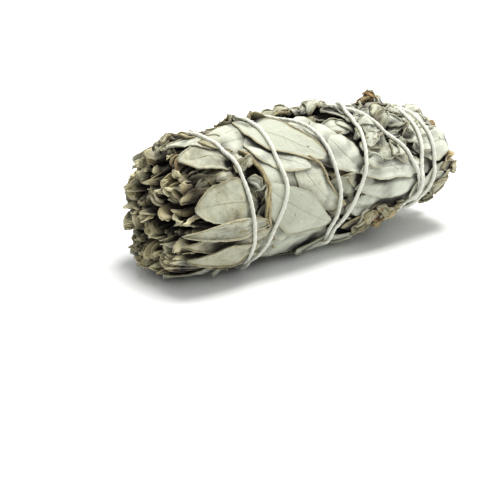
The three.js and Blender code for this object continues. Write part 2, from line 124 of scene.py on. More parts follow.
# %% [markdown]
# ## Shared helpers for node trees
#
# Shader and geometry trees read best as sums. `Wire` wraps a socket so that Python's own signs make
# the maths nodes, and `Bench` adds any other node with one method.

# %% Wires
class Wire:
    """A node's output that can be added, multiplied and compared like a number."""

    def __init__(self, bench, socket):
        self.bench = bench
        self.socket = socket

    def maths(self, operation, *values):
        """One maths node of wires and numbers."""
        kind = "ShaderNodeMath"
        return self.bench.node(kind, {"operation": operation}, dict(enumerate(values)))

    def __add__(self, other):
        return self.maths("ADD", self, other)

    def __radd__(self, other):
        return self.maths("ADD", other, self)

    def __sub__(self, other):
        return self.maths("SUBTRACT", self, other)

    def __rsub__(self, other):
        return self.maths("SUBTRACT", other, self)

    def __mul__(self, other):
        return self.maths("MULTIPLY", self, other)

    def __rmul__(self, other):
        return self.maths("MULTIPLY", other, self)

    def __truediv__(self, other):
        return self.maths("DIVIDE", self, other)

    def __rtruediv__(self, other):
        return self.maths("DIVIDE", other, self)

    def __abs__(self):
        return self.maths("ABSOLUTE", self)

    def sine(self):
        return self.maths("SINE", self)

    def cosine(self):
        return self.maths("COSINE", self)

    def step(self, low, high):
        """From 0 at low to 1 at high, smoothly."""
        sockets = {"Value": self, "From Min": low, "From Max": high}
        return self.bench.node("ShaderNodeMapRange", {"interpolation_type": "SMOOTHSTEP"}, sockets)

    def part(self, name):
        """Another output of the same node."""
        return Wire(self.bench, self.socket.node.outputs[name])


print("wires ready")

# %% [markdown]
# ## A bench for each tree
#
# Every node is added in three steps: choose its type, change its settings, fill its inputs. One
# method does all three, so a tree's code shows only what is joined to what. What is used often,
# such as noise, a mix of colours or a bump, has a short method of its own.

# %% The bench
class Bench:
    """A node tree with one method that adds a node, sets it and joins its inputs."""

    def __init__(self, tree):
        self.tree = tree

    def node(self, kind, settings=None, sockets=None, output=0):
        """Adds a node, changes its settings, fills its inputs and returns one of its outputs."""
        made = self.tree.nodes.new(kind)
        for name, value in (settings or {}).items():
            setattr(made, name, value)
        self.feed(made, sockets or {})
        return Wire(self, made.outputs[output])

    def feed(self, node, sockets):
        """Joins wires to a node's inputs, and sets inputs that have a plain value."""
        for name, value in sockets.items():
            if isinstance(value, Wire):
                self.tree.links.new(value.socket, node.inputs[name])
            else:
                node.inputs[name].default_value = value

    def mix(self, low, high, factor):
        """One colour turning into another."""
        sockets = {"Factor": factor, 6: low, 7: high}
        return self.node("ShaderNodeMix", {"data_type": "RGBA"}, sockets, 2)

    def noise(self, place, scale, detail=2.0, roughness=0.5):
        sockets = {"Vector": place, "Scale": scale, "Detail": detail, "Roughness": roughness}
        return self.node("ShaderNodeTexNoise", None, sockets)

    def attribute(self, name):
        return self.node("ShaderNodeAttribute", {"attribute_name": name}, None, "Fac")

    def object_place(self):
        return self.node("ShaderNodeTexCoord", None, None, "Object")

    def bump(self, shader, height, strength, distance):
        """Feeds a relief to a shader's normal."""
        sockets = {"Strength": strength, "Distance": distance, "Height": height}
        self.feed(shader, {"Normal": self.node("ShaderNodeBump", None, sockets)})


def material_bench(name):
    """A new material, the bench of its tree, and its main shader."""
    material = bpy.data.materials.new(name)
    material.use_nodes = True
    tree = material.node_tree
    return material, Bench(tree), tree.nodes["Principled BSDF"]


print("bench ready")

# %% [markdown]
# ## Table
#
# The table is a stage, not part of the bundle. It is a large flat sheet with a faint mottle.

# %% Table
TABLE_REACH = 6
TABLE_WHITES = ((0.86, 0.87, 0.87, 1), (0.9, 0.905, 0.905, 1))
material, bench, shader = material_bench("table_white")
mottle = bench.noise(bench.object_place(), 6.0)
bench.feed(shader, {"Base Color": bench.mix(*TABLE_WHITES, mottle), "Roughness": 0.6})
corners = [(x * TABLE_REACH, y * TABLE_REACH, 0) for x, y in ((-1, -1), (1, -1), (1, 1), (-1, 1))]
table_mesh = bpy.data.meshes.new("table")
table_mesh.from_pydata(corners, [], [(0, 1, 2, 3)])
table_mesh.materials.append(material)
table = bpy.data.objects.new("table", table_mesh)
scene.collection.objects.link(table)
print("table", 2 * TABLE_REACH, "m wide")

# %% [markdown]
# ## The bundle's outside
#
# A place on the bundle is its station, the distance along it from the leaf tips, and its angle
# round it from the top over the front. The same few numbers as in the solids give the radius there,
# so a leaf made here lies where its solid lies.

# %% Sizes shared with the solids
AXIS_HEIGHT = 19.4
MID_STATION = 49.46
TIP_STATION = -3
BUTT_STATION = 99
BUTT_INSET = 2.4
CORE_START = 11
CORE_END = 92
CORE_DEPTH = 3.1
HEART_RADIUS = 7
SPRIGS = 6
SECTOR = 360 / SPRIGS
ORDER = [3, 2, 1, 0, 4, 5, SPRIGS]
TAPER = np.array([  # station, radius
    [-6, 17.0], [2, 19.6], [10, 20.3], [30, 20.1], [50, 19.4],
    [70, 18.6], [84, 17.8], [92, 16.8], [98, 15.3], [106, 13.0],
])
LUMPS = [[0.35, 3, 9, 0], [0.25, 5, -6, 1]]  # height, how many round, slant, shift
CROWN = {"rise": 2.6, "angle": -12, "reach": 42, "station": 50, "length": 32}
HOLLOW = {"depth": 4, "angle": 150, "reach": 40, "station": 97, "length": 18}
STRING_ROUTE = np.array([  # station, and angle counted on from turn to turn
    [18.0, -118], [16.6, -60], [16.6, -10],
    [17.5, 16], [19.2, 36], [20.2, 55], [21.0, 77], [21.4, 100], [22.4, 128],
    [26.0, 180], [30.5, 240], [34.0, 300], [38.0, 335], [43.5, 352], [48.5, 368],
    [51.0, 384], [52.5, 408], [53.2, 427], [53.8, 443], [52.8, 464], [51.4, 482],
    [55.0, 540], [61.0, 610], [65.5, 665], [67.6, 700], [69.6, 720],
    [73.2, 740], [77.2, 760], [80.8, 776], [83.0, 792], [84.3, 805], [84.8, 826], [84.2, 850],
    [86.0, 905], [90.0, 970], [93.2, 1030], [93.6, 1062], [92.2, 1085],
    [91.6, 1105], [92.0, 1126], [91.8, 1148], [90.8, 1170], [88.4, 1188], [83.2, 1204],
    [80.6, 1255], [84.5, 1325], [89.0, 1385], [90.3, 1422], [88.6, 1446],
    [87.9, 1462], [88.0, 1482], [87.0, 1503], [85.2, 1526], [83.2, 1548], [79.8, 1564],
    [75.5, 1620], [72.2, 1690], [70.8, 1750], [69.6, 1782],
    [67.6, 1810], [66.8, 1834], [64.8, 1857], [62.8, 1876], [59.2, 1896], [55.5, 1912],
    [52.5, 1926],
    [46.0, 1980], [40.0, 2045], [36.6, 2110], [35.4, 2142], [34.8, 2167],
    [34.2, 2191], [34.0, 2210], [34.0, 2226], [32.2, 2241], [29.2, 2259], [27.2, 2279],
    [25.4, 2294],
    [22.0, 2340], [18.0, 2402],
])
STRING_RADIUS = 0.72
STRING_SIT = 0.9
DENT_DEPTH = 0.8
DENT_REACH = 3.5
print("string route of", len(STRING_ROUTE), "places")


# %% [markdown]
# ## Smooth curves and bumps
#
# The bundle's taper and the string's route are given at a few places only. A smooth curve through
# them fills in the rest, without the corners that straight lines would have. Soft bumps and ramps
# shape everything that swells, sinks or fades.

# %% Smooth curves
def smooth_value(keys, values, at):
    """A smooth curve through pairs of numbers: its values where the keys reach the numbers at."""
    at = np.asarray(at, float)
    last = len(keys) - 1
    k = np.clip(np.searchsorted(keys[1:], at, "left"), 0, last - 1)

    def slope(i):
        low = np.clip(i - 1, 0, last)
        high = np.clip(i + 1, 0, last)
        return (values[high] - values[low]) / (keys[high] - keys[low]) * (keys[k + 1] - keys[k])

    t = np.clip((at - keys[k]) / (keys[k + 1] - keys[k]), 0, 1)
    rise = values[k + 1] - values[k]
    square = 3 * rise - 2 * slope(k) - slope(k + 1)
    cube = slope(k) + slope(k + 1) - 2 * rise
    return values[k] + t * (slope(k) + t * (square + t * cube))


def bump(distance, reach):
    """A soft bump: 1 in the middle, nearly 0 at twice its reach."""
    return np.exp(-((distance / reach) ** 2))


def ramp(values, start, length):
    """From 0 at a start to 1 a length further on."""
    return np.clip((values - start) / length, 0, 1)


def wrapped(angle):
    """The same direction from -180 to 180 degrees."""
    return (np.asarray(angle, float) + 180) % 360 - 180


def polar(y, above):
    """Radius and angle of places beside and above the bundle's middle line."""
    return np.hypot(y, above), np.degrees(np.arctan2(-y, above))


print("taper half way", round(float(smooth_value(TAPER[:, 0], TAPER[:, 1], MID_STATION)), 2), "mm")


# %% [markdown]
# ## Round the bundle
#
# The bundle is no plain cylinder: it is fuller on top, lumpy, hollow under the stem end, and the
# tight string cuts dents into it. One function gives its radius everywhere, so that leaves, string
# and packed middle all follow the same form.

# %% Radius, places and the string's dents
def bundle_radius(station, angle):
    """Radius of the bundle's outside: tapered, lumpy, fuller on top, hollow under the stem end."""
    turn = wrapped(angle)
    crown = CROWN["rise"] * bump(turn - CROWN["angle"], CROWN["reach"])
    crown = crown * bump(station - CROWN["station"], CROWN["length"])
    hollow = HOLLOW["depth"] * bump(wrapped(angle - HOLLOW["angle"]), HOLLOW["reach"])
    hollow = hollow * bump(station - HOLLOW["station"], HOLLOW["length"])
    lumps = 0
    for height, count, slant, shift in LUMPS:
        lumps = lumps + height * np.sin(count * np.radians(turn) + station / slant + shift)
    return smooth_value(TAPER[:, 0], TAPER[:, 1], station) + crown + lumps - hollow


def string_station(running):
    return smooth_value(STRING_ROUTE[:, 1], STRING_ROUTE[:, 0], running)


def string_distance(station, angle):
    """Distance along the bundle to the nearest turn of the string."""
    far = 1e9
    first, last = STRING_ROUTE[0, 1], STRING_ROUTE[-1, 1]
    turn = first + (np.asarray(angle, float) - first) % 360
    nearest = np.full(np.broadcast(station, angle).shape, far)
    while np.any(turn <= last):
        gap = np.where(turn <= last, np.abs(string_station(turn) - station), far)
        nearest = np.minimum(nearest, gap)
        turn = turn + 360
    return nearest


def dent(station, angle):
    return DENT_DEPTH * bump(string_distance(station, angle), DENT_REACH)


def place(station, angle, radius, floor):
    """Points in millimetres at stations, angles and radii, kept above a height over the table."""
    station, angle, radius, floor = np.broadcast_arrays(station, angle, radius, floor)
    turn = np.radians(angle)
    height = np.maximum(AXIS_HEIGHT + radius * np.cos(turn), floor)
    return np.stack([station - MID_STATION, -radius * np.sin(turn), height], axis=-1)


print("radius at the middle of the top", round(float(bundle_radius(50, 0)), 2), "mm")

# %% [markdown]
# ## Thin sheets
#
# Every leaf is a thin closed sheet. It starts as a grid of points on its middle surface; both faces
# lie half a thickness off it, and a rim closes them. A `Heap` collects the sheets of one sprig with
# the few numbers that the leaf finish reads: where a point is on its leaf, how dry the leaf is, its
# own tone, and how far under the pile the point lies, which the finish paints as shade.

# %% One closed sheet
def grid_normals(points):
    """Unit normals of a grid of points."""
    along = np.gradient(points, axis=0)
    sideways = np.gradient(points, axis=1)
    normal = np.cross(along, sideways)
    return normal / np.maximum(np.linalg.norm(normal, axis=-1, keepdims=True), 1e-9)


def sheet_faces(rows, columns):
    """Quads of a closed sheet: upper face, lower face and rim."""
    index = np.arange(rows * columns).reshape(rows, columns)
    a, b = index[:-1, :-1], index[1:, :-1]
    c, d = index[1:, 1:], index[:-1, 1:]
    upper = np.stack([a, b, c, d], axis=-1).reshape(-1, 4)
    under = rows * columns
    lower = upper[:, ::-1] + under
    loop = np.concatenate([index[0, :-1], index[:-1, -1], index[-1, :0:-1], index[:0:-1, 0]])
    following = np.roll(loop, -1)
    rim = np.stack([loop, following, following + under, loop + under], axis=-1)
    return np.concatenate([upper, lower, rim])


print("faces of a sheet of 3 by 4 points", len(sheet_faces(3, 4)))

# %% [markdown]
# ## One mesh for each sprig
#
# Hundreds of leaves as objects of their own would be slow and hard to keep together. Their points
# and faces are gathered in a heap instead, and each heap becomes one mesh. The looks are stored as
# a number for each point, so one finish can serve every leaf.

# %% Heaps of sheets
MM = 0.001
# The last look is how far a point lies under the pile; the finish paints it as shade.
LOOKS = ("dry", "tone", "brown", "pale", "deep")


def sage_mesh(name, points, faces, looks, material):
    """A mesh in metres with an empty leaf map and the numbers that the leaf finish reads."""
    mesh = bpy.data.meshes.new(name)
    mesh.from_pydata((points * MM).tolist(), [], faces)
    mesh.uv_layers.new(name="leaf_map")
    for look, values in looks.items():
        attribute = mesh.attributes.new(look, "FLOAT", "POINT")
        attribute.data.foreach_set("value", np.asarray(values, np.float32))
    mesh.materials.append(material)
    return mesh


class Heap:
    """Sheets of one sprig, gathered before they become one mesh."""

    def __init__(self):
        self.points, self.quads, self.leaf_uv = [], [], []
        self.looks = {name: [] for name in LOOKS}
        self.count = 0

    def add(self, points, uv, looks, deep, thickness):
        """Adds one closed sheet round a grid of middle points; its painted shade is asked for when
        all is laid.
        """
        rows, columns = points.shape[:2]
        offset = grid_normals(points) * (thickness / 2)
        both = np.concatenate([(points + offset).reshape(-1, 3), (points - offset).reshape(-1, 3)])
        both[:, 2] = np.maximum(both[:, 2], 0.0)
        self.points.append(both)
        self.quads.append(sheet_faces(rows, columns) + self.count)
        self.leaf_uv.append(np.tile(uv.reshape(-1, 2), (2, 1)))
        for name, value in zip(LOOKS, looks):
            one_face = np.broadcast_to(value, (rows, columns)).reshape(-1)
            self.looks[name].append(np.tile(one_face, 2))
        self.looks["deep"].append(deep)
        self.count += 2 * rows * columns

    def mesh(self, name, material):
        """One mesh in metres with its leaf map and looks."""
        quads = np.concatenate(self.quads)
        self.looks["deep"] = [np.tile(deep().reshape(-1), 2) for deep in self.looks["deep"]]
        looks = {look: np.concatenate(values) for look, values in self.looks.items()}
        mesh = sage_mesh(name, np.concatenate(self.points), quads.tolist(), looks, material)
        uv = np.concatenate(self.leaf_uv)[quads.reshape(-1)]
        mesh.uv_layers["leaf_map"].data.foreach_set("uv", uv.astype(np.float32).reshape(-1))
        mesh.polygons.foreach_set("use_smooth", np.ones(len(quads), bool))
        mesh.update()
        return mesh


heaps = [Heap() for _ in ORDER]
print("heaps for", len(heaps), "sprigs")

# %% [markdown]
# ## Seeded chance
#
# The solids draw their leaves' small differences from a seeded rule, and the same rule in the same
# order gives the same leaves here. What only this lesson adds draws from a second seed.

# %% Seeded draws
SOLIDS_SEED = 2026
EXTRA_SEED = 11
WAVE_COUNT = 5


class Draw:
    """Seeded random numbers from 0 to 1, by the same rule as the solids."""

    def __init__(self, seed):
        self.state = seed

    def share(self):
        self.state = (self.state * 1664525 + 1013904223) % 2**32
        return self.state / 2**32

    def spread(self, amount):
        return (self.share() * 2 - 1) * amount


draw = Draw(SOLIDS_SEED)
extra = np.random.default_rng(EXTRA_SEED)


def swing(chance, least, most, along):
    """A sine along a line, with a drawn pace and start."""
    return np.sin(chance.uniform(least, most) * along + chance.uniform(0, 6))


def waves(station, arc, size, seed):
    """A gentle seeded unevenness over a leaf, from a few crossing waves of about a size."""
    chance = np.random.default_rng(seed)
    total = 0
    for _ in range(WAVE_COUNT):
        turn = chance.uniform(0, math.tau)
        length = size * chance.uniform(0.6, 1.5)
        travel = (station * math.cos(turn) + arc * math.sin(turn)) / length * math.tau
        total = total + np.sin(travel + chance.uniform(0, math.tau))
    return total / WAVE_COUNT


print("first draw of the solids", round(Draw(SOLIDS_SEED).share(), 4))

# %% [markdown]
# ## Where the leaves lie
#
# The leaves on the side that is seen best are placed one by one: root, tip, width, layer, sideways
# bow and lift of the tip. The last three numbers are only for the looks: how far the left and right
# margins roll up, and how dry the leaf is. The back follows a rule in rows and lanes.

# %% Leaves of the seen side
FRONT_LEAVES = [
    # station and angle of root and tip, width, layer, bow, lift, left and right roll, dryness
    [37, 10, 9, 14, 15, 1, 0, 0.2, 60, 60, 0.05],
    [33, 128, 24, 26, 17, 1, 8, 0.2, 250, 60, 0.15],
    [27, 64, 51, 111, 14, 2, 1, 0.0, 50, 70, 0.05],
    [40, 44, 55, 99, 10, 1, 2.5, 0.3, 200, 90, 0.3],
    [31, -14, 50, 50, 12, 2, 2, 0.3, 120, 90, 0.15],
    [27, 18, 44, 56, 8, 1, 1, 0.4, 90, 90, 0.15],
    [47, -18, 58, 64, 14, 0, 3, 0.2, 60, 60, 0.0],
    [54, 34, 65, 69, 9, 1, 1, 0.5, 50, 60, 0.0],
    [86, 76, 62, 69, 7.5, 2, 1, 0.3, 60, 120, 0.1],
    [87, 90, 60, 85, 9, 1, 1, 0.2, 60, 60, 0.1],
    [52, 133, 20, 112, 17, 1, 1, 0.1, 60, 80, 0.1],
    [62, 152, 28, 142, 14, 0, 0, 0.1, 60, 60, 0.15],
    [80, 126, 56, 122, 10, 1, 0, 0.3, 80, 80, 0.75],
    [86, 104, 57, 104, 11, 0, 0, 0.2, 60, 80, 0.1],
    [78, 52, 64, 46, 7, 2, 0, 0.8, 150, 150, 0.3],
    [84, 64, 71, 58, 7, 1, 0, 0.9, 120, 160, 0.4],
    [90, 46, 78, 40, 11, 1, 1, 0.3, 90, 60, 0.2],
    [85, 26, 69, 16, 9, 1, 0, 0.6, 120, 90, 0.2],
    [77, 6, 60, -2, 9, 1, 1, 0.7, 90, 120, 0.2],
    [92, 8, 77, 2, 9, 2, 0, 0.6, 120, 90, 0.25],
    [75, 34, 65, 30, 6, 2, 0, 1.0, 200, 120, 0.45],
    [101, 28, 85, 26, 9, 1, 0, 0.3, 60, 90, 0.3],
    [102, 52, 84, 56, 10, 2, 0, 0.2, 60, 90, 0.2],
    [102, 76, 84, 78, 9, 1, 1, 0.3, 90, 60, 0.2],
    [101, 98, 81, 104, 10, 2, 0, 0.2, 60, 60, 0.15],
    [21, 30, 3, 24, 9, 1, 0, 0.6, 120, 120, 0.45],
    [24, 75, 2, 70, 11, 2, 1, 0.3, 70, 120, 0.42],
    [27, 94, -2, 91, 5, 2, 0, 0.5, 220, 180, 0.45],
    [27, 105, -2, 102, 6, 1, 0, 0.9, 120, 200, 0.5],
    [25, 118, 0, 116, 7, 2, 0, 0.6, 160, 120, 0.45],
    [21, 8, 4, 2, 9, 1, 0, 0.6, 90, 120, 0.3],
    [53, -20, 37, -14, 7, 2, 1, 2.2, 200, 200, 0.65],
    [42, -28, 57, -20, 7, 1, 0, 1.8, 200, 160, 0.6],
    [76, -22, 86, -12, 5, 2, 0, 3.0, 220, 220, 0.95],
]


def front_leaf(values):
    """A row of the table as a leaf, with a small drawn wave along its margins."""
    root_station, root_angle, tip_station, tip_angle, width, layer, bow, lift = values[:8]
    return {
        "from": (root_station, root_angle), "to": (tip_station, tip_angle), "width": width,
        "layer": layer, "bow": bow, "lift": lift,
        "wave": 0.25 + draw.spread(0.15), "phase": draw.share() * 6,
        "rolls": values[8:10], "dry": values[10],
    }


main_leaves = [front_leaf(values) for values in FRONT_LEAVES]
print("leaves placed one by one", len(main_leaves))

# %% [markdown]
# ## The leaf tips and the back
#
# The bundle ends in a low dome of leaf tips that is cut back along the top, and no main leaf
# reaches past it. Leaves on the back overlap like tiles: rows along the bundle, and lanes round it
# that shift by half a lane in every second row.

# %% Dome of tips and leaves of the back
TIP_DOME = {"reach": 20, "near": 0.3, "far": 3.1, "full_angle": 172}
BACK_ROWS = [24, 48, 72, 98]
BACK_FIRST_LANE = 158
BACK_LANE_STEP = 36
BACK_LANES = 5
BACK_LENGTH = 26
BACK_WIDTH = 13


def dome_station(radius, angle):
    """Where the leaf tips end: a dome, cut back along the top."""
    far = TIP_DOME["far"] * (1 - np.cos(np.radians(angle - TIP_DOME["full_angle"])))
    return TIP_STATION + (radius / TIP_DOME["reach"]) ** 2 * (TIP_DOME["near"] + far)


def back_leaf(row, lane):
    """A leaf of the back, drawn round its place in the rows and lanes."""
    angle = BACK_FIRST_LANE + BACK_LANE_STEP * (lane + 0.5 * (row % 2)) + draw.spread(4)
    station = BACK_ROWS[row] + draw.spread(3)
    tip_station, tip_angle = station - BACK_LENGTH + draw.spread(3), angle + draw.spread(22)
    tip = (max(tip_station, float(dome_station(TIP_DOME["reach"], tip_angle))), tip_angle)
    return {
        "from": (station, angle), "to": tip, "width": BACK_WIDTH + draw.spread(2),
        "layer": (row + 2 * lane) % 3, "bow": draw.spread(1.5), "lift": 0.3 + 0.6 * draw.share(),
        "wave": 0.25 + draw.spread(0.15), "phase": draw.share() * 6,
        "rolls": (90, 90), "dry": 0.15,
    }


main_leaves += [back_leaf(row, lane) for row in range(len(BACK_ROWS)) for lane in range(BACK_LANES)]
print("main leaves", len(main_leaves))

# %% [markdown]
# ## What sets single leaves apart
#
# Some of the leaves that show best have broad brown margins, some are finely creased, and their
# green runs from dark (0) to pale (1). Drawing this by chance would put it on the wrong leaves, so
# it is looked up by the leaf's number in the table.

# %% Looks of single leaves
BROAD_MARGINS = {
    # leaf: tube sizes of its left and right margins, and their brownness
    1: ((0.9, 0.4), (1.0, 0.2)),
    3: ((0.7, 0.4), (0.9, 0.4)),
    4: ((0.5, 0.5), (0.7, 0.8)),
    5: ((0.45, 0.45), (0.7, 0.7)),
    19: ((0.7, 0.5), (0.8, 0.6)),
}
MARGIN_HEIGHT = 0.55
HALF_SHARES = {2: (0.62, 1.0)}  # leaf: how wide its left and right halves stay
CREASED = {12: 0.35, 8: 0.15, 9: 0.2, 13: 0.2, 22: 0.15, 23: 0.15, 24: 0.15, 26: 0.12}
TONES = {
    0: 0.5, 1: 0.5, 2: 0.05, 6: 0.9, 7: 0.8, 8: 1, 9: 0.9, 10: 0.2,
    13: 0.8, 22: 0.9, 23: 1, 24: 0.8, 26: 0,
}
for number, (tubes, brown) in BROAD_MARGINS.items():
    main_leaves[number].update(tubes=tubes, brown=brown, flatten=MARGIN_HEIGHT)
for key, table_of_looks in {"sides": HALF_SHARES, "crumple": CREASED, "tone": TONES}.items():
    for number, value in table_of_looks.items():
        main_leaves[number][key] = value
print("broad margins", len(BROAD_MARGINS), "creased", len(CREASED), "own green", len(TONES))

# %% [markdown]
# ## Laying leaves on a stack
#
# Real leaves press on each other and never pass through. A map of the bundle's outside keeps how
# high the pile is at each place. A new leaf keeps to the height that its solid has, but rests on
# the pile where that is higher, stays a little stiff over hollows, and is pressed down close to the
# string. Then the map rises under it.

# %% The stack map
STACK_CELL = 0.5
STACK_TURN = 1.25
STACK_FIRST = -8.0
STACK_ROWS = 233
STACK_COLUMNS = int(360 / STACK_TURN)
THIRDS = (0, 1 / 3, 2 / 3, 1)
stack = np.full((STACK_ROWS, STACK_COLUMNS), -CORE_DEPTH)


def stack_cells(station, angle):
    """Row and column on the map, with fractions."""
    row = np.clip((station - STACK_FIRST) / STACK_CELL, 0, STACK_ROWS - 2)
    return row, ((angle + 180) / STACK_TURN) % STACK_COLUMNS


def read_stack(station, angle):
    """The highest of the four map cells round each place."""
    row, column = stack_cells(station, angle)
    i, j = row.astype(int), column.astype(int)
    k = (j + 1) % STACK_COLUMNS
    near, far = np.maximum(stack[i, j], stack[i + 1, j]), np.maximum(stack[i, k], stack[i + 1, k])
    return np.maximum(near, far)


def between(grid, p, q):
    """A grid's values a share p along and a share q across each of its cells."""
    low = grid[:-1, :-1] * (1 - q) + grid[:-1, 1:] * q
    high = grid[1:, :-1] * (1 - q) + grid[1:, 1:] * q
    return low * (1 - p) + high * p


def raise_stack(station, angle, height):
    """Lifts the map to a leaf's upper face, sampled three times as finely as its grid."""
    for p in THIRDS:
        for q in THIRDS:
            row, column = stack_cells(between(station, p, q), between(angle, p, q))
            cells = (np.rint(row).astype(int), np.rint(column).astype(int) % STACK_COLUMNS)
            np.maximum.at(stack, cells, between(height, p, q))


print("stack map", stack.shape)

# %% [markdown]
# ## How a leaf settles
#
# A dry leaf bends little: it stays nearly straight over a hollow and rides over what sticks up.
# Averaging its heights a few times, and never letting them sink into the pile, gives that. Near the
# string a soft ceiling presses all sheets down in their order, so none comes out over the string.

# %% Settle and press
CAP_HEIGHT = STRING_SIT - STRING_RADIUS + DENT_DEPTH - 0.15
CAP_REACH = 0.6
CAP_SPREAD = 1.9
CAP_HARDNESS = 4.0


def settle(target, under, stiffness):
    """Heights of a sheet that keeps to its target, rests on what is under it, and bends stiffly."""
    lowest = np.maximum(target, under)
    height = lowest
    for _ in range(stiffness):
        padded = np.pad(height, 1, mode="edge")
        mean = (padded[:-2, 1:-1] + padded[2:, 1:-1] + padded[1:-1, :-2] + padded[1:-1, 2:]) / 4
        height = np.maximum(mean, lowest)
    return height


def press(height, station, angle):
    """Keeps a sheet under the string, without changing which sheet is above which."""
    cap = CAP_HEIGHT + np.maximum(0, string_distance(station, angle) - CAP_REACH) ** 2 / CAP_SPREAD
    low = np.minimum(height, cap)
    squeeze = np.exp(-CAP_HARDNESS * (height - low)) + np.exp(-CAP_HARDNESS * (cap - low))
    return low - np.log(squeeze) / CAP_HARDNESS


print("highest sheet under the string", round(CAP_HEIGHT, 2), "mm")

# %% [markdown]
# ## Outline of a leaf
#
# A sage leaf is widest in its lower half and ends in a blunt point. Its margins roll up into a soft
# rim when it dries, which shows the darker inside. So each cross-section is flat in the middle and
# a piece of a small circle at each margin.

# %% Leaf outline and cross-section
TUBE_PART = 3.2
BROWN_EDGES = (0.13, 0.87)
BROWN_FADE = 0.05


def leaf_profile(u):
    """Half width from root (0) to tip (1), where the widest is about 1."""
    t = np.clip(u, 0, 1)
    body = 1.05 * np.sin(np.pi * t**0.85) ** 0.75 * (1 - 0.15 * t)
    return 0.22 * (1 - t) + body + 0.1 * t


def uneven_halves(width, u, chance, amount):
    """Half widths left and right of the midrib, each with its own slow and quick unevenness."""
    halves = []
    for _ in range(2):
        uneven = swing(chance, 4, 7, u) + 0.5 * swing(chance, 11, 17, u)
        uneven = amount * (uneven + 0.25 * swing(chance, 35, 50, u))
        halves.append(width / 2 * leaf_profile(u) * (1 + uneven))
    return halves


def cross_section(halves, rolls, tubes, flat_cells, roll_cells):
    """Sideways place, height and map value of every column, with both margins rolled up."""
    tubes = [np.minimum(tube, half / TUBE_PART) for tube, half in zip(tubes, halves)]
    inner = [half - tube for half, tube in zip(halves, tubes)]
    flat = np.linspace(-1, 1, flat_cells + 1)[None, :]
    steps = np.linspace(0, 1, roll_cells + 1)[None, 1:]
    left, right = (np.radians(turn) * steps for turn in rolls)
    across = [
        -(inner[0] + tubes[0] * np.sin(left))[:, ::-1],
        np.where(flat < 0, inner[0], inner[1]) * flat,
        inner[1] + tubes[1] * np.sin(right),
    ]
    height = [
        (tubes[0] * (1 - np.cos(left)))[:, ::-1],
        0 * inner[0] * flat,
        tubes[1] * (1 - np.cos(right)),
    ]
    ones = np.ones_like(halves[0])
    marks = [
        ones * (0.1 - 0.1 * steps[:, ::-1]),
        ones * (0.5 + 0.4 * flat),
        ones * (0.9 + 0.1 * steps),
    ]
    return tuple(np.concatenate(parts, axis=1) for parts in (across, height, marks))


def margin_brown(marks, amounts):
    """Brownness of the left and right margins, nothing in the middle."""
    left = amounts[0] * np.clip((BROWN_EDGES[0] - marks) / BROWN_FADE, 0, 1)
    return left + amounts[1] * ramp(marks, BROWN_EDGES[1], BROWN_FADE)


print("half width in the middle of a leaf", round(float(leaf_profile(0.5)), 2))

# %% [markdown]
# ## Light and dark in the pile
#
# Little light gets between the leaves, so the finish paints near-black shade on what lies far
# under the pile and on the lowest inner leaves. How far a point lies under it is only known when
# the pile is finished: its top is smoothed, so that one lone leaf doesn't darken its surroundings,
# and the point is compared with that.

# %% Depth in the pile
WIDENED = 3
TOP_SMOOTHED = 4
NEARBY_SMOOTHED = 40
LONE_PEAK = 0.8


def averaged(grid, times):
    """The map smoothed round and along the bundle."""
    for _ in range(times):
        grid = (grid + np.roll(grid, 1, 1) + np.roll(grid, -1, 1)) / 3
        grid[1:-1] = (grid[1:-1] + grid[2:] + grid[:-2]) / 3
    return grid


@functools.cache
def crest():
    """Top of the finished pile round each map cell."""
    wide = stack
    for _ in range(WIDENED):
        wide = np.maximum(wide, np.maximum(np.roll(wide, 1, 1), np.roll(wide, -1, 1)))
        wide[1:-1] = np.maximum(wide[1:-1], np.maximum(wide[2:], wide[:-2]))
    return np.minimum(averaged(wide, TOP_SMOOTHED), averaged(stack, NEARBY_SMOOTHED) + LONE_PEAK)


def lying_depth(station, angle, height):
    """Painted shade, from 0 to 1: how far a lying leaf's point is under the finished pile round it.
    """
    row, column = stack_cells(station, angle)
    top = crest()[row.astype(int), column.astype(int)]
    low = np.clip(-(height + 0.9) / 1.5, 0, 1)
    return np.maximum(ramp(top - height, 0.4, 1.3), low)


print("the pile's top is widened by", WIDENED, "cells")

# %% [markdown]
# ## Shape of one lying leaf
#
# A leaf starts from the height that its solid has: a sunk root, a lifted tip and curled margins.
# Slow and quick waves, soft and sharp folds, and the grooves of the midrib and side veins make it a
# dried leaf. A crumpled leaf has more of the same.

# %% Heights of one leaf
LOWEST_LAYER = -1.9
LAYER_STEP = 1.05
ROOT_DEPTH = -3.7
ROOT_SHARE = 0.3
EDGE_CURL = 0.35
WAVES = ((0.16, 1, 5.5), (0.05, 0.4, 2.2))  # height, height per crumple, size
SOFT_FOLD = 0.22
SHARP_FOLD = 2.2
GROOVE_DEPTH = 0.14
GROOVE_REACH = 0.08
VEIN_DEPTH = 0.09
VEIN_STEP = 3.1
VEIN_SLANT = 0.35


def lying_height(leaf, u, v):
    """Height that the leaf's solid has."""
    settled = LOWEST_LAYER + LAYER_STEP * leaf["layer"]
    sunk = (ROOT_DEPTH - settled) * np.maximum(0, 1 - u / ROOT_SHARE) ** 2
    curl = EDGE_CURL * v**2 + leaf["wave"] * v * np.sin(7 * u + leaf["phase"])
    return settled + sunk + leaf["lift"] * u * u + curl


def sharp_folds(turn):
    """A zigzag from -1 to 1."""
    return np.arcsin(np.sin(turn)) * 2 / math.pi


def with_folds(height, u, across, length, crumple, chance):
    """Adds soft folds along the leaf and, where it is crumpled, sharp ones."""
    soft = chance.uniform(0, SOFT_FOLD) * swing(chance, 1.6, 2.6, across)
    height = height + soft * np.sin(math.pi * u)
    zigzag = chance.uniform(0.8, 1.4) * across + chance.uniform(-1.5, 1.5) * u * length / 3
    sharp = SHARP_FOLD * crumple * chance.uniform(0.2, 1)
    return height + sharp * sharp_folds(zigzag + chance.uniform(0, 6))


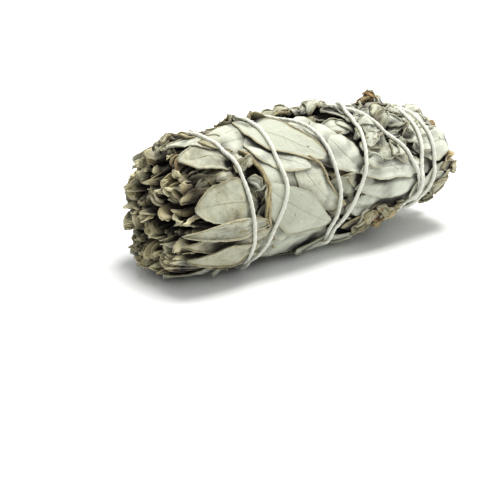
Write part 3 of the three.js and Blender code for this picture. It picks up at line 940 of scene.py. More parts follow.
def grooves(u, v, across, length):
    """The midrib and the side veins, sunk in the upper face."""
    midrib = -GROOVE_DEPTH * bump(v, GROOVE_REACH) * (1 - u)
    veins = np.abs(np.sin(math.pi * (u * length / VEIN_STEP - VEIN_SLANT * np.abs(across))))
    return midrib - VEIN_DEPTH * (1 - veins) ** 2 * np.clip(np.abs(v) * 3, 0, 1)


print("leaf layers at", [round(LOWEST_LAYER + LAYER_STEP * layer, 2) for layer in range(3)], "mm")

# %% [markdown]
# ## Laying one leaf
#
# A leaf's points are first found flat, along its midline and across it. The map of the pile gives
# their height, and station, angle and radius bend it round the bundle. Its upper face then goes
# onto the map for the next leaf.

# %% Lay one leaf
RIM_TUBE = 0.35
UNEVEN = 0.07
EDGE_WAVE = 0.05
SHEET = 0.3
REST_GAP = 0.05
RIM_PRESSED = 0.9
RIM_PRESS_REACH = 2.2
LOWEST_LEAF = 0.25
LEAF_SPACING = 0.16


def owner(angle):
    """Which heap a leaf on the outside belongs to."""
    return ORDER.index(int(math.floor(angle / SECTOR + 0.5)) % SPRIGS)


def leaf_course(leaf):
    """A lying leaf's start, direction and length, and the millimetres per degree there."""
    first, last = np.array(leaf["from"], float), np.array(leaf["to"], float)
    middle = (first + last) / 2
    arc = math.radians(1) * float(bundle_radius(middle[0], middle[1]))
    run = np.array([last[0] - first[0], (last[1] - first[1]) * arc])
    length = np.hypot(*run)
    return first, run / length, length, arc


def lay_leaf(leaf, cells, stiffness, seed, crumple=0.0):
    """Lays one leaf on the stack and adds it to its sprig's heap."""
    rows, flat_cells, roll_cells = cells
    chance = np.random.default_rng(seed + 2)
    first, run, length, arc = leaf_course(leaf)
    u = np.linspace(0, 1, rows + 1)[:, None]
    halves = uneven_halves(leaf["width"], u, chance, UNEVEN)
    halves = [half * share for half, share in zip(halves, leaf.get("sides", (1, 1)))]
    tubes = leaf.get("tubes", (RIM_TUBE, RIM_TUBE))
    across, rim, marks = cross_section(halves, leaf["rolls"], tubes, flat_cells, roll_cells)
    v = across / (leaf["width"] / 2 * np.maximum(leaf_profile(u), 0.1))
    sway = EDGE_WAVE * leaf["width"] * np.sin(9 * u + leaf["phase"]) * v * np.abs(v)
    sideways = leaf["bow"] * 4 * u * (1 - u) + across + sway
    station = first[0] + run[0] * u * length - run[1] * sideways
    angle = first[1] + (run[1] * u * length + run[0] * sideways) / arc

    target = lying_height(leaf, u, v)
    for k, (height, more, size) in enumerate(WAVES):
        target = target + (height + more * crumple) * waves(station, angle * arc, size, seed + k)
    target = with_folds(target, u, across, length, crumple, chance)
    under = read_stack(station, angle) + SHEET / 2 + REST_GAP
    height = settle(target, under, stiffness) + grooves(u, v, across, length)
    height = press(height, station, angle)
    raise_stack(station, angle, height + SHEET / 2)

    near_string = bump(string_distance(station, angle), RIM_PRESS_REACH)
    rim = rim * leaf.get("flatten", 1.0) * (1 - RIM_PRESSED * near_string)
    floor = LOWEST_LEAF + LEAF_SPACING * np.clip(height + CORE_DEPTH, 0, 5) + rim
    radius = bundle_radius(station, angle) - dent(station, angle) + height + rim
    points = place(station, angle, radius, floor)
    uv = np.stack([marks, np.broadcast_to(u, marks.shape)], axis=-1)
    brown = margin_brown(marks, leaf.get("brown", chance.uniform(0.1, 0.7, 2)))
    tone = leaf.get("tone", chance.uniform(0, 1))
    deep = functools.partial(lying_depth, station, angle, height + rim)
    heap = heaps[leaf.get("heap", owner(first[1]))]
    heap.add(points, uv, (leaf["dry"], tone, brown, 0), deep, SHEET)


print("a leaf at the top belongs to sprig", owner(0) + 1)

# %% [markdown]
# ## Leaves under the outer ones
#
# Between the large leaves small crumpled ones show, with painted shade that darkens them the lower
# they lie. Each of them shows little, so they are strewn by chance all over the bundle, and they are
# laid first.

# %% Lay the inner leaves
INNER_LEAVES = 420
INNER_CELLS = (8, 4, 2)
INNER_CRUMPLE = 0.15
INNER_SEED = 1000


def small_leaf(station, angle, length, width, turn, layer, lift, rolls, dry):
    """A small leaf round a middle place, turned from the bundle's length."""
    arc = math.radians(1) * float(bundle_radius(station, angle))
    half = np.array([math.cos(turn), math.sin(turn) / arc]) * length / 2
    return {
        "from": (station + half[0], angle + half[1]), "to": (station - half[0], angle - half[1]),
        "width": width, "layer": layer, "bow": extra.uniform(-0.8, 0.8), "lift": lift,
        "wave": 0.3 + extra.uniform(0, 0.5), "phase": extra.uniform(0, 6),
        "rolls": rolls, "dry": dry, "heap": owner(angle),
    }


for k in range(INNER_LEAVES):
    station = extra.uniform(9, 93)
    angle = extra.uniform(-180, 180)
    size = extra.uniform(7, 13)
    turn = extra.normal(0, 0.35)
    rolls = extra.uniform(60, 200, 2)
    level = extra.uniform(-0.9, -0.2)
    dry = extra.uniform(0.2, 0.8)
    leaf = small_leaf(station, angle, size, size * 0.5, turn, level, 0.4, rolls, dry)
    lay_leaf(leaf, INNER_CELLS, 1, INNER_SEED + 5 * k, INNER_CRUMPLE)
print("pile height after the inner leaves", round(float(stack.mean()), 2))

# %% [markdown]
# ## The main leaves
#
# These are the leaves of the solids with more detail. They lie in three layers, and laying them
# from the inside out puts each on those that the real one covers.

# %% Lay the main leaves, inner layers first
MAIN_CELLS = (40, 14, 4)
MAIN_STIFFNESS = 3
for number, leaf in sorted(enumerate(main_leaves), key=lambda pair: pair[1]["layer"]):
    lay_leaf(leaf, MAIN_CELLS, MAIN_STIFFNESS, 5 * number, leaf.get("crumple", 0))
print("pile height after the main leaves", round(float(stack.mean()), 2), "mm")

# %% [markdown]
# ## Crumpled bits
#
# Towards the stem end, and along the top, small curled leaves lie loosely on the large ones, with
# dark holes between them. A table says how many lie where, and chance places them. The drier a bit
# is, the deeper its own green.

# %% Lay the crumpled bits
CRUMPLED = [
    # middle station, its spread, angle, its spread, how many, dryness, least and most size
    [78, 15, 22, 42, 38, 0.15, 4, 9],
    [45, 11, -20, 7, 22, 0.42, 3, 5.5],
    [80, 2.5, -10, 4, 7, 0.98, 3, 5.5],
    [72, 16, -50, 30, 16, 0.35, 4, 9],
    [50, 40, 215, 100, 30, 0.3, 4, 9],
    [94, 5, 0, 180, 40, 0.35, 4, 9],
    [22, 1.8, 48, 14, 8, 0.15, 4, 6],
    [70, 9, 118, 7, 12, 0.65, 5, 9],
    [101, 1, 93, 3, 3, 0.7, 4, 6],
    [13, 6, -80, 105, 26, 0.4, 4, 8],
]
CRUMPLED_SEED = 9000
BIT_CELLS = (14, 8, 3)
BIT_CRUMPLE = 0.4


def lay_bits(rows, seed):
    """Strews the curled bits of a table on the pile."""
    for middle, reach, angle, turn_reach, count, dry, least, most in rows:
        for _ in range(count):
            station = middle + extra.uniform(-reach, reach)
            bit_angle = angle + extra.uniform(-turn_reach, turn_reach)
            size = extra.uniform(least, most)
            rolls = extra.uniform(90, 260, 2)
            own_dry = float(np.clip(dry + extra.normal(0, 0.2), 0, 1))
            leaf = small_leaf(
                station, bit_angle, size, size * extra.uniform(0.4, 0.65), extra.normal(0, 0.5),
                extra.uniform(0.9, 1.7), extra.uniform(0.2, 1.2), rolls, own_dry,
            )
            leaf["tone"] = 1 - 0.7 * own_dry
            lay_leaf(leaf, BIT_CELLS, 1, seed, BIT_CRUMPLE)
            seed += 5


lay_bits(CRUMPLED, CRUMPLED_SEED)
bits = sum(row[4] for row in CRUMPLED)
print("crumpled bits", bits, "pile up to", round(float(stack.max()), 2), "mm")

# %% [markdown]
# ## Leaves pressed flat underneath
#
# The bundle rests on its lowest leaves, and its weight presses them flat. Two flat leaves with
# slightly raised margins lie there, and they close the gap to the table.

# %% Leaves pressed flat under the bundle
PADS = [[35.8, 15, 10], [65.5, 15, 10]]  # middle station, length, width
PAD_CELLS = (20, 10)
PAD_LOOKS = (0.3, 0.4, 0, 0)
# Painted shade of the leaves pressed under the bundle, the same for all their points.
PAD_SHADE = 0.2


def pressed_leaf(middle, length, width):
    """Points and leaf map of a leaf under the bundle."""
    u = np.linspace(0, 1, PAD_CELLS[0] + 1)[:, None]
    v = np.linspace(-1, 1, PAD_CELLS[1] + 1)[None, :]
    x = middle - MID_STATION + length * (0.5 - u) + 0 * v
    y = width / 2 * leaf_profile(u) * v
    z = 0.17 + 0.35 * v**4 + 0.12 * (1 + waves(x, y, 4.0, int(middle))) * v**2
    leaf_map = np.stack([0.5 + 0.5 * v + 0 * u, u + 0 * v], axis=-1)
    return np.stack([x, y, z], axis=-1), leaf_map


for pad in PADS:
    points, leaf_map = pressed_leaf(*pad)
    deep = functools.partial(np.full, points.shape[:2], PAD_SHADE)
    heaps[0].add(points, leaf_map, PAD_LOOKS, deep, SHEET)
print("pressed leaves", len(PADS))

# %% [markdown]
# ## Leaf ends
#
# At both ends the leaves stand out of the bundle and curl. The leaf ends of the solids come first,
# with the same draws: rings of folded leaves between the two borders of each sprig, and a few in
# the heart.

# %% Where the solids' leaf ends stand
# Rings of leaf ends in a sprig: radius, how many, width
TIP_RINGS = {"outer": [[17.0, 3, 6.8], [12.4, 3, 5.6]], "heart": [[6.6, 5, 5.6], [2.4, 2, 5.0]]}
BUTT_RINGS = {"outer": [[12.6, 2, 5.5]], "heart": [[4.6, 3, 4.5]]}
STANDING_ROOT = 4
ROOTS = {True: CORE_START + STANDING_ROOT, False: CORE_END - STANDING_ROOT}


def end_course(at_tips, tip, butt):
    """Where a leaf end starts and ends, at the tips or at the cut end."""
    return {"start": ROOTS[at_tips], "end": max(tip, TIP_STATION) if at_tips else butt}


def standing_leaves(rings, middle, span, at_tips):
    """The folded leaves of one sprig at one end, in rings between the sprig's two borders."""
    leaves = []
    for ring, (radius, count, size) in enumerate(rings):
        for k in range(count):
            angle = middle + span * ((k + 0.5) / count - 0.5) + draw.spread(3)
            tip = dome_station(radius, angle) + 1.4 + draw.spread(1.6)
            butt = BUTT_STATION + draw.spread(1.8)
            inset = float(bundle_radius(BUTT_STATION, angle)) - BUTT_INSET
            leaves.append(end_course(at_tips, tip, butt) | {
                "radius": radius if at_tips else min(radius, inset),
                "angle": angle, "width": size + draw.spread(1.2),
                "facing": -angle + draw.spread(22 if ring == 0 else 45),
                "curl": draw.spread(0.3) + (0.55 if k % 2 else -0.55),
                "twist": draw.spread(35), "splay": draw.spread(1),
                "ragged": 1.2 + draw.spread(0.8),
            })
    return leaves


solid_ends = []
for heap, index in zip(heaps, ORDER):
    kind, span = ("heart", 360) if index == SPRIGS else ("outer", SECTOR)
    standing = standing_leaves(TIP_RINGS[kind], index * SECTOR, span, True)
    standing += standing_leaves(BUTT_RINGS[kind], index * SECTOR, span, False)
    solid_ends += [(leaf, heap) for leaf in standing]
print("leaf ends of the solids", len(solid_ends))

# %% [markdown]
# ## Shape of one leaf end
#
# Each leaf end is a sheet bent into part of a tube. It could be bent by a modifier, but a formula
# also gives what a dried one does besides: it twists, flops over near its tip, is creased, and ends
# in a torn edge.

# %% Parts of a leaf end's shape
MOST_FLOP = 190
END_CURL = 2.2


def flopped(reach, u, chance):
    """How far a leaf end's midline goes ahead and aside, and its lean, as it flops over."""
    length = reach + chance.uniform(0.5, 3.5)
    over = math.radians(chance.uniform(0, 1) ** 2 * MOST_FLOP) * chance.choice([-1, 1])
    begin = chance.uniform(0.55, 0.85)
    lean = over * ramp(u, begin, 1 - begin) ** 1.3
    ahead = np.cumsum(np.cos(lean), axis=0) * length / (len(u) - 1)
    aside = np.cumsum(np.sin(lean), axis=0) * length / (len(u) - 1)
    return ahead - ahead.max() + reach, aside, lean


def end_halves(width, u, chance):
    """Half width of a leaf end, narrower at the tip, and its two uneven halves."""
    half = width / 2 * (0.8 + 0.3 * np.sin(np.pi * u)) * (1 - chance.uniform(0.3, 0.8) * u**5)
    return half, [half * (1 + 0.12 * swing(chance, 6, 12, u)) for _ in range(2)]


def curled(curl, half, u, w, rim, chance):
    """Sideways place and height of a leaf end bent into part of a tube, ruffled and creased."""
    bend = curl * (END_CURL + chance.uniform(0, 2.5) * u**2)
    sideways = half * np.sin(bend * w) / bend
    height = half * (1 - np.cos(bend * w)) / bend - half * curl * 0.5
    height = height + math.copysign(1, curl) * rim
    ruffle = 0.7 * u**3 * swing(chance, 3, 7, w)
    creases = half * chance.uniform(0.9, 1.5) * w + chance.uniform(-0.8, 0.8) * 4 * u
    creases = creases + chance.uniform(0, 6)
    sharp = chance.uniform(0.2, 0.75) * (0.15 + 0.85 * u**1.5)
    return sideways, height + ruffle + sharp * sharp_folds(creases)


def torn_edge(leaf, u, w, chance):
    """How far each part of a leaf end reaches past its midline's end."""
    torn = 0.6 * leaf["ragged"] * np.sin(2.4 * w + 5 * leaf["curl"]) * u
    return torn + 0.7 * u**6 * sharp_folds(chance.uniform(5, 8) * w + chance.uniform(0, 6))


print("a leaf end flops over by up to", MOST_FLOP, "degrees")

# %% [markdown]
# ## Keeping leaf ends in
#
# The leaf ends may not stand out of the bundle's side. Cutting them off there would leave straight
# edges, so they are drawn in softly instead, and a little more on the underside near the tips.

# %% Drawn in, and painted shade by depth
END_INSET = 0.4
DRAWN_SHARE = 0.25
END_FLOOR = 0.4
UNDER_TIPS = {"depth": 2.2, "angle": 160, "reach": 55, "length": 9}


def kept_in(station, y, z):
    """Points of a leaf end, drawn in where it would stand out of the bundle's side."""
    station, y, above = np.broadcast_arrays(station, y, z - AXIS_HEIGHT)
    radius, angle = polar(y, above)
    under = bump(wrapped(angle - UNDER_TIPS["angle"]), UNDER_TIPS["reach"])
    under = UNDER_TIPS["depth"] * under * bump(station, UNDER_TIPS["length"])
    limit = bundle_radius(station, angle) - END_INSET - under
    drawn = np.where(radius > limit, (limit + DRAWN_SHARE * (radius - limit)) / radius, 1)
    points = np.stack([station - MID_STATION, y * drawn, above * drawn + AXIS_HEIGHT], axis=-1)
    points[..., 2] = np.maximum(points[..., 2], END_FLOOR)
    return points


def ends_depth(points, at_tips):
    """Painted shade, from 0 to 1: how far a leaf end's point lies below the bundle's nearest outside.
    """
    station = points[..., 0] + MID_STATION
    radius, angle = polar(points[..., 1], points[..., 2] - AXIS_HEIGHT)
    inside = bundle_radius(station, angle) - radius
    below = station - dome_station(radius, angle) if at_tips else BUTT_STATION + 1 - station
    return np.clip((np.minimum(below, inside * 1.2 + 1) - 0.6) / 3.0, 0, 1)


print("leaf ends stay", END_INSET, "mm inside")

# %% [markdown]
# ## Standing the leaf ends
#
# The parts of the shape come together along the leaf's own directions, turned to face out of the
# bundle. The torn tip and the margins near it are paler: partly because they dried out first, and
# partly as a painted highlight where light catches the outermost edges.

# %% Stand the leaf ends of the solids
END_CELLS = (26, 12, 4)
END_SEED = 20000
END_SHEET = 0.28
END_WAVES = ((0.35, 3.4), (0.55, 1.5))  # height and size of the slow and the quick one


def highlit_and_dried_pale(marks, u, chance):
    """Paleness at a leaf end's tip and margins near it: its dried colour and a painted highlight."""
    rims = 0.8 * ramp(np.abs(2 * marks - 1), 0.72, 0.2) * np.clip(2 * u - 0.8, 0, 1)
    return np.maximum(ramp(u, 0.82, 0.12), rims) * chance.uniform(0.45, 1)


def stand_leaf(leaf, heap, cells, seed):
    """Adds one curled leaf end to a heap."""
    rows, flat_cells, roll_cells = cells
    chance = np.random.default_rng(seed)
    u = np.linspace(0, 1, rows + 1)[:, None]
    at_tips = leaf["end"] < leaf["start"]
    ahead, aside, lean = flopped(abs(leaf["end"] - leaf["start"]), u, chance)
    half, halves = end_halves(leaf["width"], u, chance)
    rolls, tubes = chance.uniform(100, 300, 2), chance.uniform(0.25, 0.7, 2)
    across, rim, marks = cross_section(halves, rolls, tubes, flat_cells, roll_cells)
    w = across / half
    sideways, height = curled(leaf["curl"], half, u, w, rim, chance)
    ahead = ahead - np.sin(lean) * height + torn_edge(leaf, u, w, chance)
    aside = aside + np.cos(lean) * height
    station = leaf["start"] + (-ahead if at_tips else ahead)
    (slow, slow_size), (quick, quick_size) = END_WAVES
    ripple = slow * waves(station, w * half + aside, slow_size, seed + 1)
    rough = quick * waves(station, w * half + aside, quick_size, seed + 2)
    aside = aside + (ripple + rough * (0.3 + 0.7 * u))
    sideways = sideways + chance.uniform(-1, 1) * leaf.get("flop", 1.2) * u**2

    turn = np.radians(leaf["facing"] + leaf["twist"] * u)
    out = np.radians(leaf["angle"])
    radius = leaf["radius"] + leaf["splay"] * u**2
    y = -radius * np.sin(out) + sideways * np.cos(turn) - aside * np.sin(turn)
    z = AXIS_HEIGHT + radius * np.cos(out) + sideways * np.sin(turn) + aside * np.cos(turn)
    points = kept_in(station, y, z)
    uv = np.stack(np.broadcast_arrays(marks, u), axis=-1)
    dry = chance.uniform(0.35, 0.95)
    brown = margin_brown(marks, chance.uniform(0.1, 0.9, 2))
    pale = highlit_and_dried_pale(marks, u, chance)
    tone = chance.uniform(0, 1)
    deep = functools.partial(ends_depth, points, at_tips)
    heap.add(points, uv, (dry, tone, brown, pale), deep, END_SHEET)


for k, (leaf, heap) in enumerate(solid_ends):
    stand_leaf(leaf, heap, END_CELLS, END_SEED + 5 * k)
print("points in the heart's heap", heaps[-1].count)

# %% [markdown]
# ## Smaller leaf ends
#
# The real tip face has many more leaves than the solids. Smaller ones are drawn by chance all over
# both ends, and a ring of them follows the rim of the tip face, where the gaps would show most.

# %% Smaller leaf ends between them
TIP_FILL = 110
TIP_RIM = 40
BUTT_FILL = 50
TIP_REACH = 18.3
BUTT_REACH = 14.5
RIM_RADII = (15.5, 18.5)
FILL_CELLS = (20, 8, 3)
FILL_SEED = 30000


def fill_leaf(k):
    """The smaller leaf end with a number: those of the tips come first, and of them the rim."""
    at_tips = k < TIP_FILL
    radius = (TIP_REACH if at_tips else BUTT_REACH) * math.sqrt(extra.uniform(0, 1))
    angle = extra.uniform(-180, 180)
    if k < TIP_RIM:
        radius = extra.uniform(*RIM_RADII)
        angle = 360 * (k + extra.uniform(0, 1)) / TIP_RIM - 180
    tip = dome_station(radius, angle) + 1.2 + extra.uniform(-1.2, 3.0)
    butt = BUTT_STATION + extra.uniform(-4, 2.5)
    return end_course(at_tips, tip, butt) | {
        "radius": radius, "angle": angle, "width": extra.uniform(3.0, 6.0),
        "facing": -angle + extra.normal(0, 45),
        "curl": extra.choice([-1, 1]) * extra.uniform(0.35, 1.0),
        "twist": extra.uniform(-60, 60), "splay": extra.uniform(-1, 1),
        "ragged": extra.uniform(0.4, 1.8), "flop": 2.0 if at_tips else 1.5,
    }


for k in range(TIP_FILL + BUTT_FILL):
    leaf = fill_leaf(k)
    heap = heaps[-1] if leaf["radius"] < HEART_RADIUS else heaps[owner(leaf["angle"])]
    stand_leaf(leaf, heap, FILL_CELLS, FILL_SEED + 5 * k)
print("smaller leaf ends", TIP_FILL + BUTT_FILL)

# %% [markdown]
# ## Bits along the top
#
# Two patches of curled bits lie on everything else along the top and break its smooth outline. They
# are laid last, so that they take no draw from what is already in place.

# %% Bits that lie last
TOP_BITS = [
    [34, 5, -20, 5, 7, 0.6, 4, 6],
    [61, 5, -14, 7, 9, 0.08, 5, 8],
]
TOP_SEED = 15000
lay_bits(TOP_BITS, TOP_SEED)
bits = sum(row[4] for row in TOP_BITS)
print("bits along the top", bits, "pile up to", round(float(stack.max()), 2), "mm")

# %% [markdown]
# ## The imported middle
#
# Below all leaves each sprig is a packed mass of older leaves. Only shade shows of it between
# them, so it is a plain closed body with the sprig's own wavy borders, painted near black as shade.

# %% Rings of the imported middle
CORE_RINGS = 40
CORE_COLUMNS = 12
CORE_FLOOR = 0.7


def core_points(index):
    """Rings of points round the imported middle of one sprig."""
    stations = np.linspace(CORE_START, CORE_END, CORE_RINGS + 1)[:, None]
    if index == SPRIGS:
        angles = np.linspace(0, 360, 2 * CORE_COLUMNS, endpoint=False)[None, :]
        rough = 0.25 * waves(stations, angles * 0.12, 3.0, 77)
        return place(stations, angles, HEART_RADIUS + rough, 0)
    borders = [(k - 0.5) * SECTOR + 4 * np.sin(stations / 15 + k * 1.7) for k in (index, index + 1)]
    share = np.linspace(0, 1, CORE_COLUMNS + 1)[None, :]
    angles = borders[0] + (borders[1] - borders[0]) * share
    inset = np.degrees((share - 0.5) * 0.5 / 18)
    outer = bundle_radius(stations, angles) - CORE_DEPTH - 0.1
    outer = outer + 0.3 * waves(stations, angles * 0.33, 4.0, 50 + index)
    rim = place(stations, angles - inset, outer, CORE_FLOOR)
    inner_angles = np.concatenate([borders[1] - 1.2, borders[0] + 1.2], axis=1)
    inner = place(stations, inner_angles, HEART_RADIUS + 0.7, CORE_FLOOR)
    return np.concatenate([rim, inner], axis=1)


print("points round a packed middle", core_points(0).shape[1])

# %% [markdown]
# ## Closing the imported middle
#
# Neighbouring rings are joined by four-sided faces, and a fan of triangles closes each end. A mesh
# operator then turns the normals of all faces outwards.

# %% Close the imported middle
# Painted shade: the packed middle is darkened to near black all over.
CORE_LOOKS = {"dry": 0.6, "tone": 0.3, "brown": 0.0, "pale": 0.0, "deep": 1.0}


def core_body(index):
    """Points and faces of a packed middle."""
    rings = core_points(index)
    last, columns = len(rings) - 1, rings.shape[1]
    centres = np.stack([rings[0].mean(0), rings[-1].mean(0)])
    points = np.concatenate([rings.reshape(-1, 3), centres])
    faces = []
    for k in range(last):
        for j in range(columns):
            a, b = k * columns + j, k * columns + (j + 1) % columns
            faces.append((a, b, b + columns, a + columns))
    start, end = len(points) - 2, len(points) - 1
    for j in range(columns):
        low, high = j, (j + 1) % columns
        faces.append((high, low, start))
        faces.append((last * columns + low, last * columns + high, end))
    return points, faces


def core_mesh(index, name, material):
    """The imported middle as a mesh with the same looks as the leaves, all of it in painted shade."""
    points, faces = core_body(index)
    looks = {look: np.full(len(points), value) for look, value in CORE_LOOKS.items()}
    mesh = sage_mesh(name, points, faces, looks, material)
    closed = bmesh.new()
    closed.from_mesh(mesh)
    bmesh.ops.recalc_face_normals(closed, faces=closed.faces)
    closed.to_mesh(mesh)
    closed.free()
    return mesh


print("faces of a packed middle", len(core_body(0)[1]))

# %% [markdown]
# ## Leaf finish
#
# Dried white sage is a pale silver green under a short felt. It turns olive at the margins, along
# the veins and where it is driest, and brown in places. Painting that would need an image for each
# leaf; the leaf map gives each point's place on its own leaf instead, so noise, midrib and side
# veins follow the leaf.

# %% Leaf colour
def leaf_patterns(bench):
    """The wires that colour and relief share, by name."""
    where = bench.object_place()
    leaf_map = bench.node("ShaderNodeUVMap", {"uv_map": "leaf_map"})
    across = bench.node("ShaderNodeSeparateXYZ", None, {0: leaf_map})
    along = across.part("Y")
    side = abs(across - 0.5) * 2
    return {
        "where": where, "leaf_map": leaf_map, "along": along, "side": side,
        "patches": bench.noise(where, 190.0, 3.0, 0.55),
        "specks": bench.noise(where, 1500.0, 3.0, 0.6),
        "midrib": 1 - side.step(0.0, 0.07),
        "veins": ((along * 62 - side * 16).sine() * 0.5 + 0.5).step(0.9, 1.0),
    }


def leaf_colour(bench, seen):
    """Felt, dryness, brown margins, veins, pale edges partly painted as highlight, painted shade."""
    dry, tone, brown, pale, deep = (bench.attribute(name) for name in LOOKS)
    patches, specks = seen["patches"], seen["specks"]
    green = tone * 0.65 + patches * 0.35
    felt = bench.mix((0.44, 0.46, 0.36, 1), (0.7, 0.72, 0.61, 1), green)
    felt = bench.mix(felt, (0.77, 0.775, 0.7, 1), specks.step(0.5, 0.8) * 0.4)
    dryness = (dry * 1.15 + patches * 0.8 - 0.45).step(0.1, 0.95)
    colour = bench.mix(felt, (0.36, 0.31, 0.15, 1), dryness * 0.85)
    blots = bench.noise(seen["where"], 620.0, 3.0, 0.65).step(0.5, 0.66)
    colour = bench.mix(colour, (0.13, 0.085, 0.035, 1), blots * dryness * 0.75)
    rusty = (dry + specks * 0.3 - 0.2).step(0.78, 1.0)
    colour = bench.mix(colour, (0.42, 0.21, 0.065, 1), rusty * 0.9)
    sockets = {"Vector": seen["leaf_map"], "Scale": (70, 9, 1)}
    streaks = bench.noise(bench.node("ShaderNodeMapping", None, sockets), 1.0, 3.0)
    rind = bench.mix((0.1, 0.075, 0.03, 1), (0.5, 0.41, 0.2, 1), streaks.step(0.35, 0.65))
    colour = bench.mix(colour, rind, brown * 0.9)
    veined = seen["midrib"] * 0.35 + seen["veins"] * 0.08
    colour = bench.mix(colour, (0.36, 0.37, 0.26, 1), veined)
    # Pale cream at the tips and rims of leaf ends: partly their dried colour, partly painted
    # highlight.
    highlit_and_dried = pale * patches.step(0.2, 0.5)
    colour = bench.mix(colour, (0.78, 0.72, 0.47, 1), highlit_and_dried * 0.95)
    # Painted shade: near black where a point lies far under the pile or inside the bundle.
    return bench.mix(colour, (0.022, 0.014, 0.007, 1), deep * 0.97)


print("looks that the finish reads", LOOKS)

# %% [markdown]
# ## Leaf relief
#
# Under a low light the felt looks rough and finely wrinkled, and the rolled margins are ribbed.
# These are too small to model, so they are a bump of a fraction of a millimetre. A soft sheen
# stands for the felt's fine hairs.

# %% Leaf material
def leaf_relief(bench, seen):
    """Height of the felt's grain, wrinkles, veins and the ribs of the margins."""
    wrinkles = bench.noise(seen["where"], 420.0, 3.0, 0.6)
    relief = seen["specks"] * 0.35 + seen["patches"] * 0.5 + wrinkles * 0.9
    relief = relief + seen["midrib"] * 0.5 + seen["veins"] * 0.12
    ribs = ((seen["along"] * 190).sine() * 0.5 + 0.5) * seen["side"].step(0.82, 1.0)
    return relief + ribs * 0.5


def leaf_finish():
    """The finish of all leaves."""
    material, bench, shader = material_bench("sage_felt")
    seen = leaf_patterns(bench)
    bench.feed(shader, {
        "Base Color": leaf_colour(bench, seen), "Roughness": 0.95 - seen["specks"] * 0.12,
        "Sheen Weight": 0.25, "Sheen Roughness": 0.6, "Specular IOR Level": 0.25,
    })
    bench.bump(shader, leaf_relief(bench, seen), 0.55, 0.0005)
    return material


sage_felt = leaf_finish()
print("leaf finish", sage_felt.name, "with", len(sage_felt.node_tree.nodes), "nodes")

# %% [markdown]
# ## Geometry Nodes helpers
#
# What repeats or follows a line is made by Geometry Nodes. Each tree has named inputs and a fixed
# seed, ends in plain mesh, and is run once, so the finished piece carries no modifier.

# %% Make and run a tree
def linked(name, mesh):
    """A new object in the scene."""
    made = bpy.data.objects.new(name, mesh)
    scene.collection.objects.link(made)
    return made


SOCKET_KINDS = {float: "NodeSocketFloat", int: "NodeSocketInt"}


def geometry_tree(name, inputs):
    """A new Geometry Nodes tree with named inputs and their values, its bench and input wires."""
    tree = bpy.data.node_groups.new(name, "GeometryNodeTree")
    tree.interface.new_socket("Geometry", in_out="INPUT", socket_type="NodeSocketGeometry")
    for label, value in inputs.items():
        kind = SOCKET_KINDS.get(type(value), "NodeSocketMaterial")
        tree.interface.new_socket(label, in_out="INPUT", socket_type=kind).default_value = value
    tree.interface.new_socket("Geometry", in_out="OUTPUT", socket_type="NodeSocketGeometry")
    bench = Bench(tree)
    source = tree.nodes.new("NodeGroupInput")
    wires = {socket.name: Wire(bench, socket) for socket in source.outputs if socket.name}
    return tree, bench, wires


def finish_tree(bench, geometry, material_wire):
    """Ends a tree in Realize Instances and Set Material."""
    real = bench.node("GeometryNodeRealizeInstances", None, {0: geometry})
    sockets = {"Geometry": real, "Material": material_wire}
    done = bench.node("GeometryNodeSetMaterial", None, sockets)
    output = bench.tree.nodes.new("NodeGroupOutput")
    bench.tree.links.new(done.socket, output.inputs[0])


def run_tree(name, source, tree, **own):
    """Runs a tree on an object, with own values if any, and returns a plain mesh object."""
    modifier = source.modifiers.new(name, "NODES")
    modifier.node_group = tree
    for item in tree.interface.items_tree:
        if item.item_type == "SOCKET" and item.name in own:
            modifier[item.identifier] = own[item.name]
    evaluated = source.evaluated_get(bpy.context.evaluated_depsgraph_get())
    mesh = bpy.data.meshes.new_from_object(evaluated)
    mesh.name = name
    source.modifiers.remove(modifier)
    made = linked(name, mesh)
    bpy.data.objects.remove(source)
    return made


def path_object(name, paths):
    """Open lines in millimetres as one object of edges in metres."""
    points = np.concatenate(paths) * MM
    edges, first = [], 0
    for path in paths:
        edges += [(first + k, first + k + 1) for k in range(len(path) - 1)]
        first += len(path)
    mesh = bpy.data.meshes.new(name)
    mesh.from_pydata(points.tolist(), edges, [])
    return linked(name, mesh)


print("tree helpers ready")

# %% [markdown]
# ## Parts that several trees share
#
# A swept line gives string, fibre and stem their roundness. Crumbs and fibres stand on points in
# any direction and size, from a seed, so that no two look alike.

# %% Sweep, join and chance in a tree
def circle_outline(bench, sides, radius):
    """A round outline to sweep along a line."""
    sockets = {"Resolution": sides, "Radius": radius}
    return bench.node("GeometryNodeCurvePrimitiveCircle", None, sockets)


def swept(bench, curve, outline):
    """A closed mesh round a curve."""
    sockets = {"Curve": curve, "Profile Curve": outline, "Fill Caps": True}
    return bench.node("GeometryNodeCurveToMesh", None, sockets)


def joined_with(bench, first, second):
    """Both geometries as one."""
    whole = bench.node("GeometryNodeJoinGeometry", None, {0: first})
    bench.feed(whole.socket.node, {0: second})
    return whole


def spun(bench, rotation, tilt, seed):
    """A rotation turned about its own axis by any angle, and tilted by up to a little."""
    sockets = {0: (-tilt, -tilt, 0), 1: (tilt, tilt, math.tau), "Seed": seed}
    euler = bench.node("FunctionNodeRandomValue", {"data_type": "FLOAT_VECTOR"}, sockets)
    turn = bench.node("FunctionNodeEulerToRotation", None, {0: euler})
    sockets = {0: rotation, 1: turn}
    return bench.node("FunctionNodeRotateRotation", {"rotation_space": "LOCAL"}, sockets)


def random_size(bench, least, most, seed):
    """A size between two, drawn for each point."""
    sockets = {2: least, 3: most, "Seed": seed}
    return bench.node("FunctionNodeRandomValue", {"data_type": "FLOAT"}, sockets, 1)


print("sweep and chance ready")

# %% [markdown]
# ## Crumbs
#
# Dried sage breaks easily, so crumbs of leaf lie on the bundle. They are small bent flakes,
# scattered over the parts of the leaves that lie open, and not low down, where they would touch the
# table.

# %% Crumb tree
CRUMB_OPEN = 0.2
CRUMB_TILT = 0.4


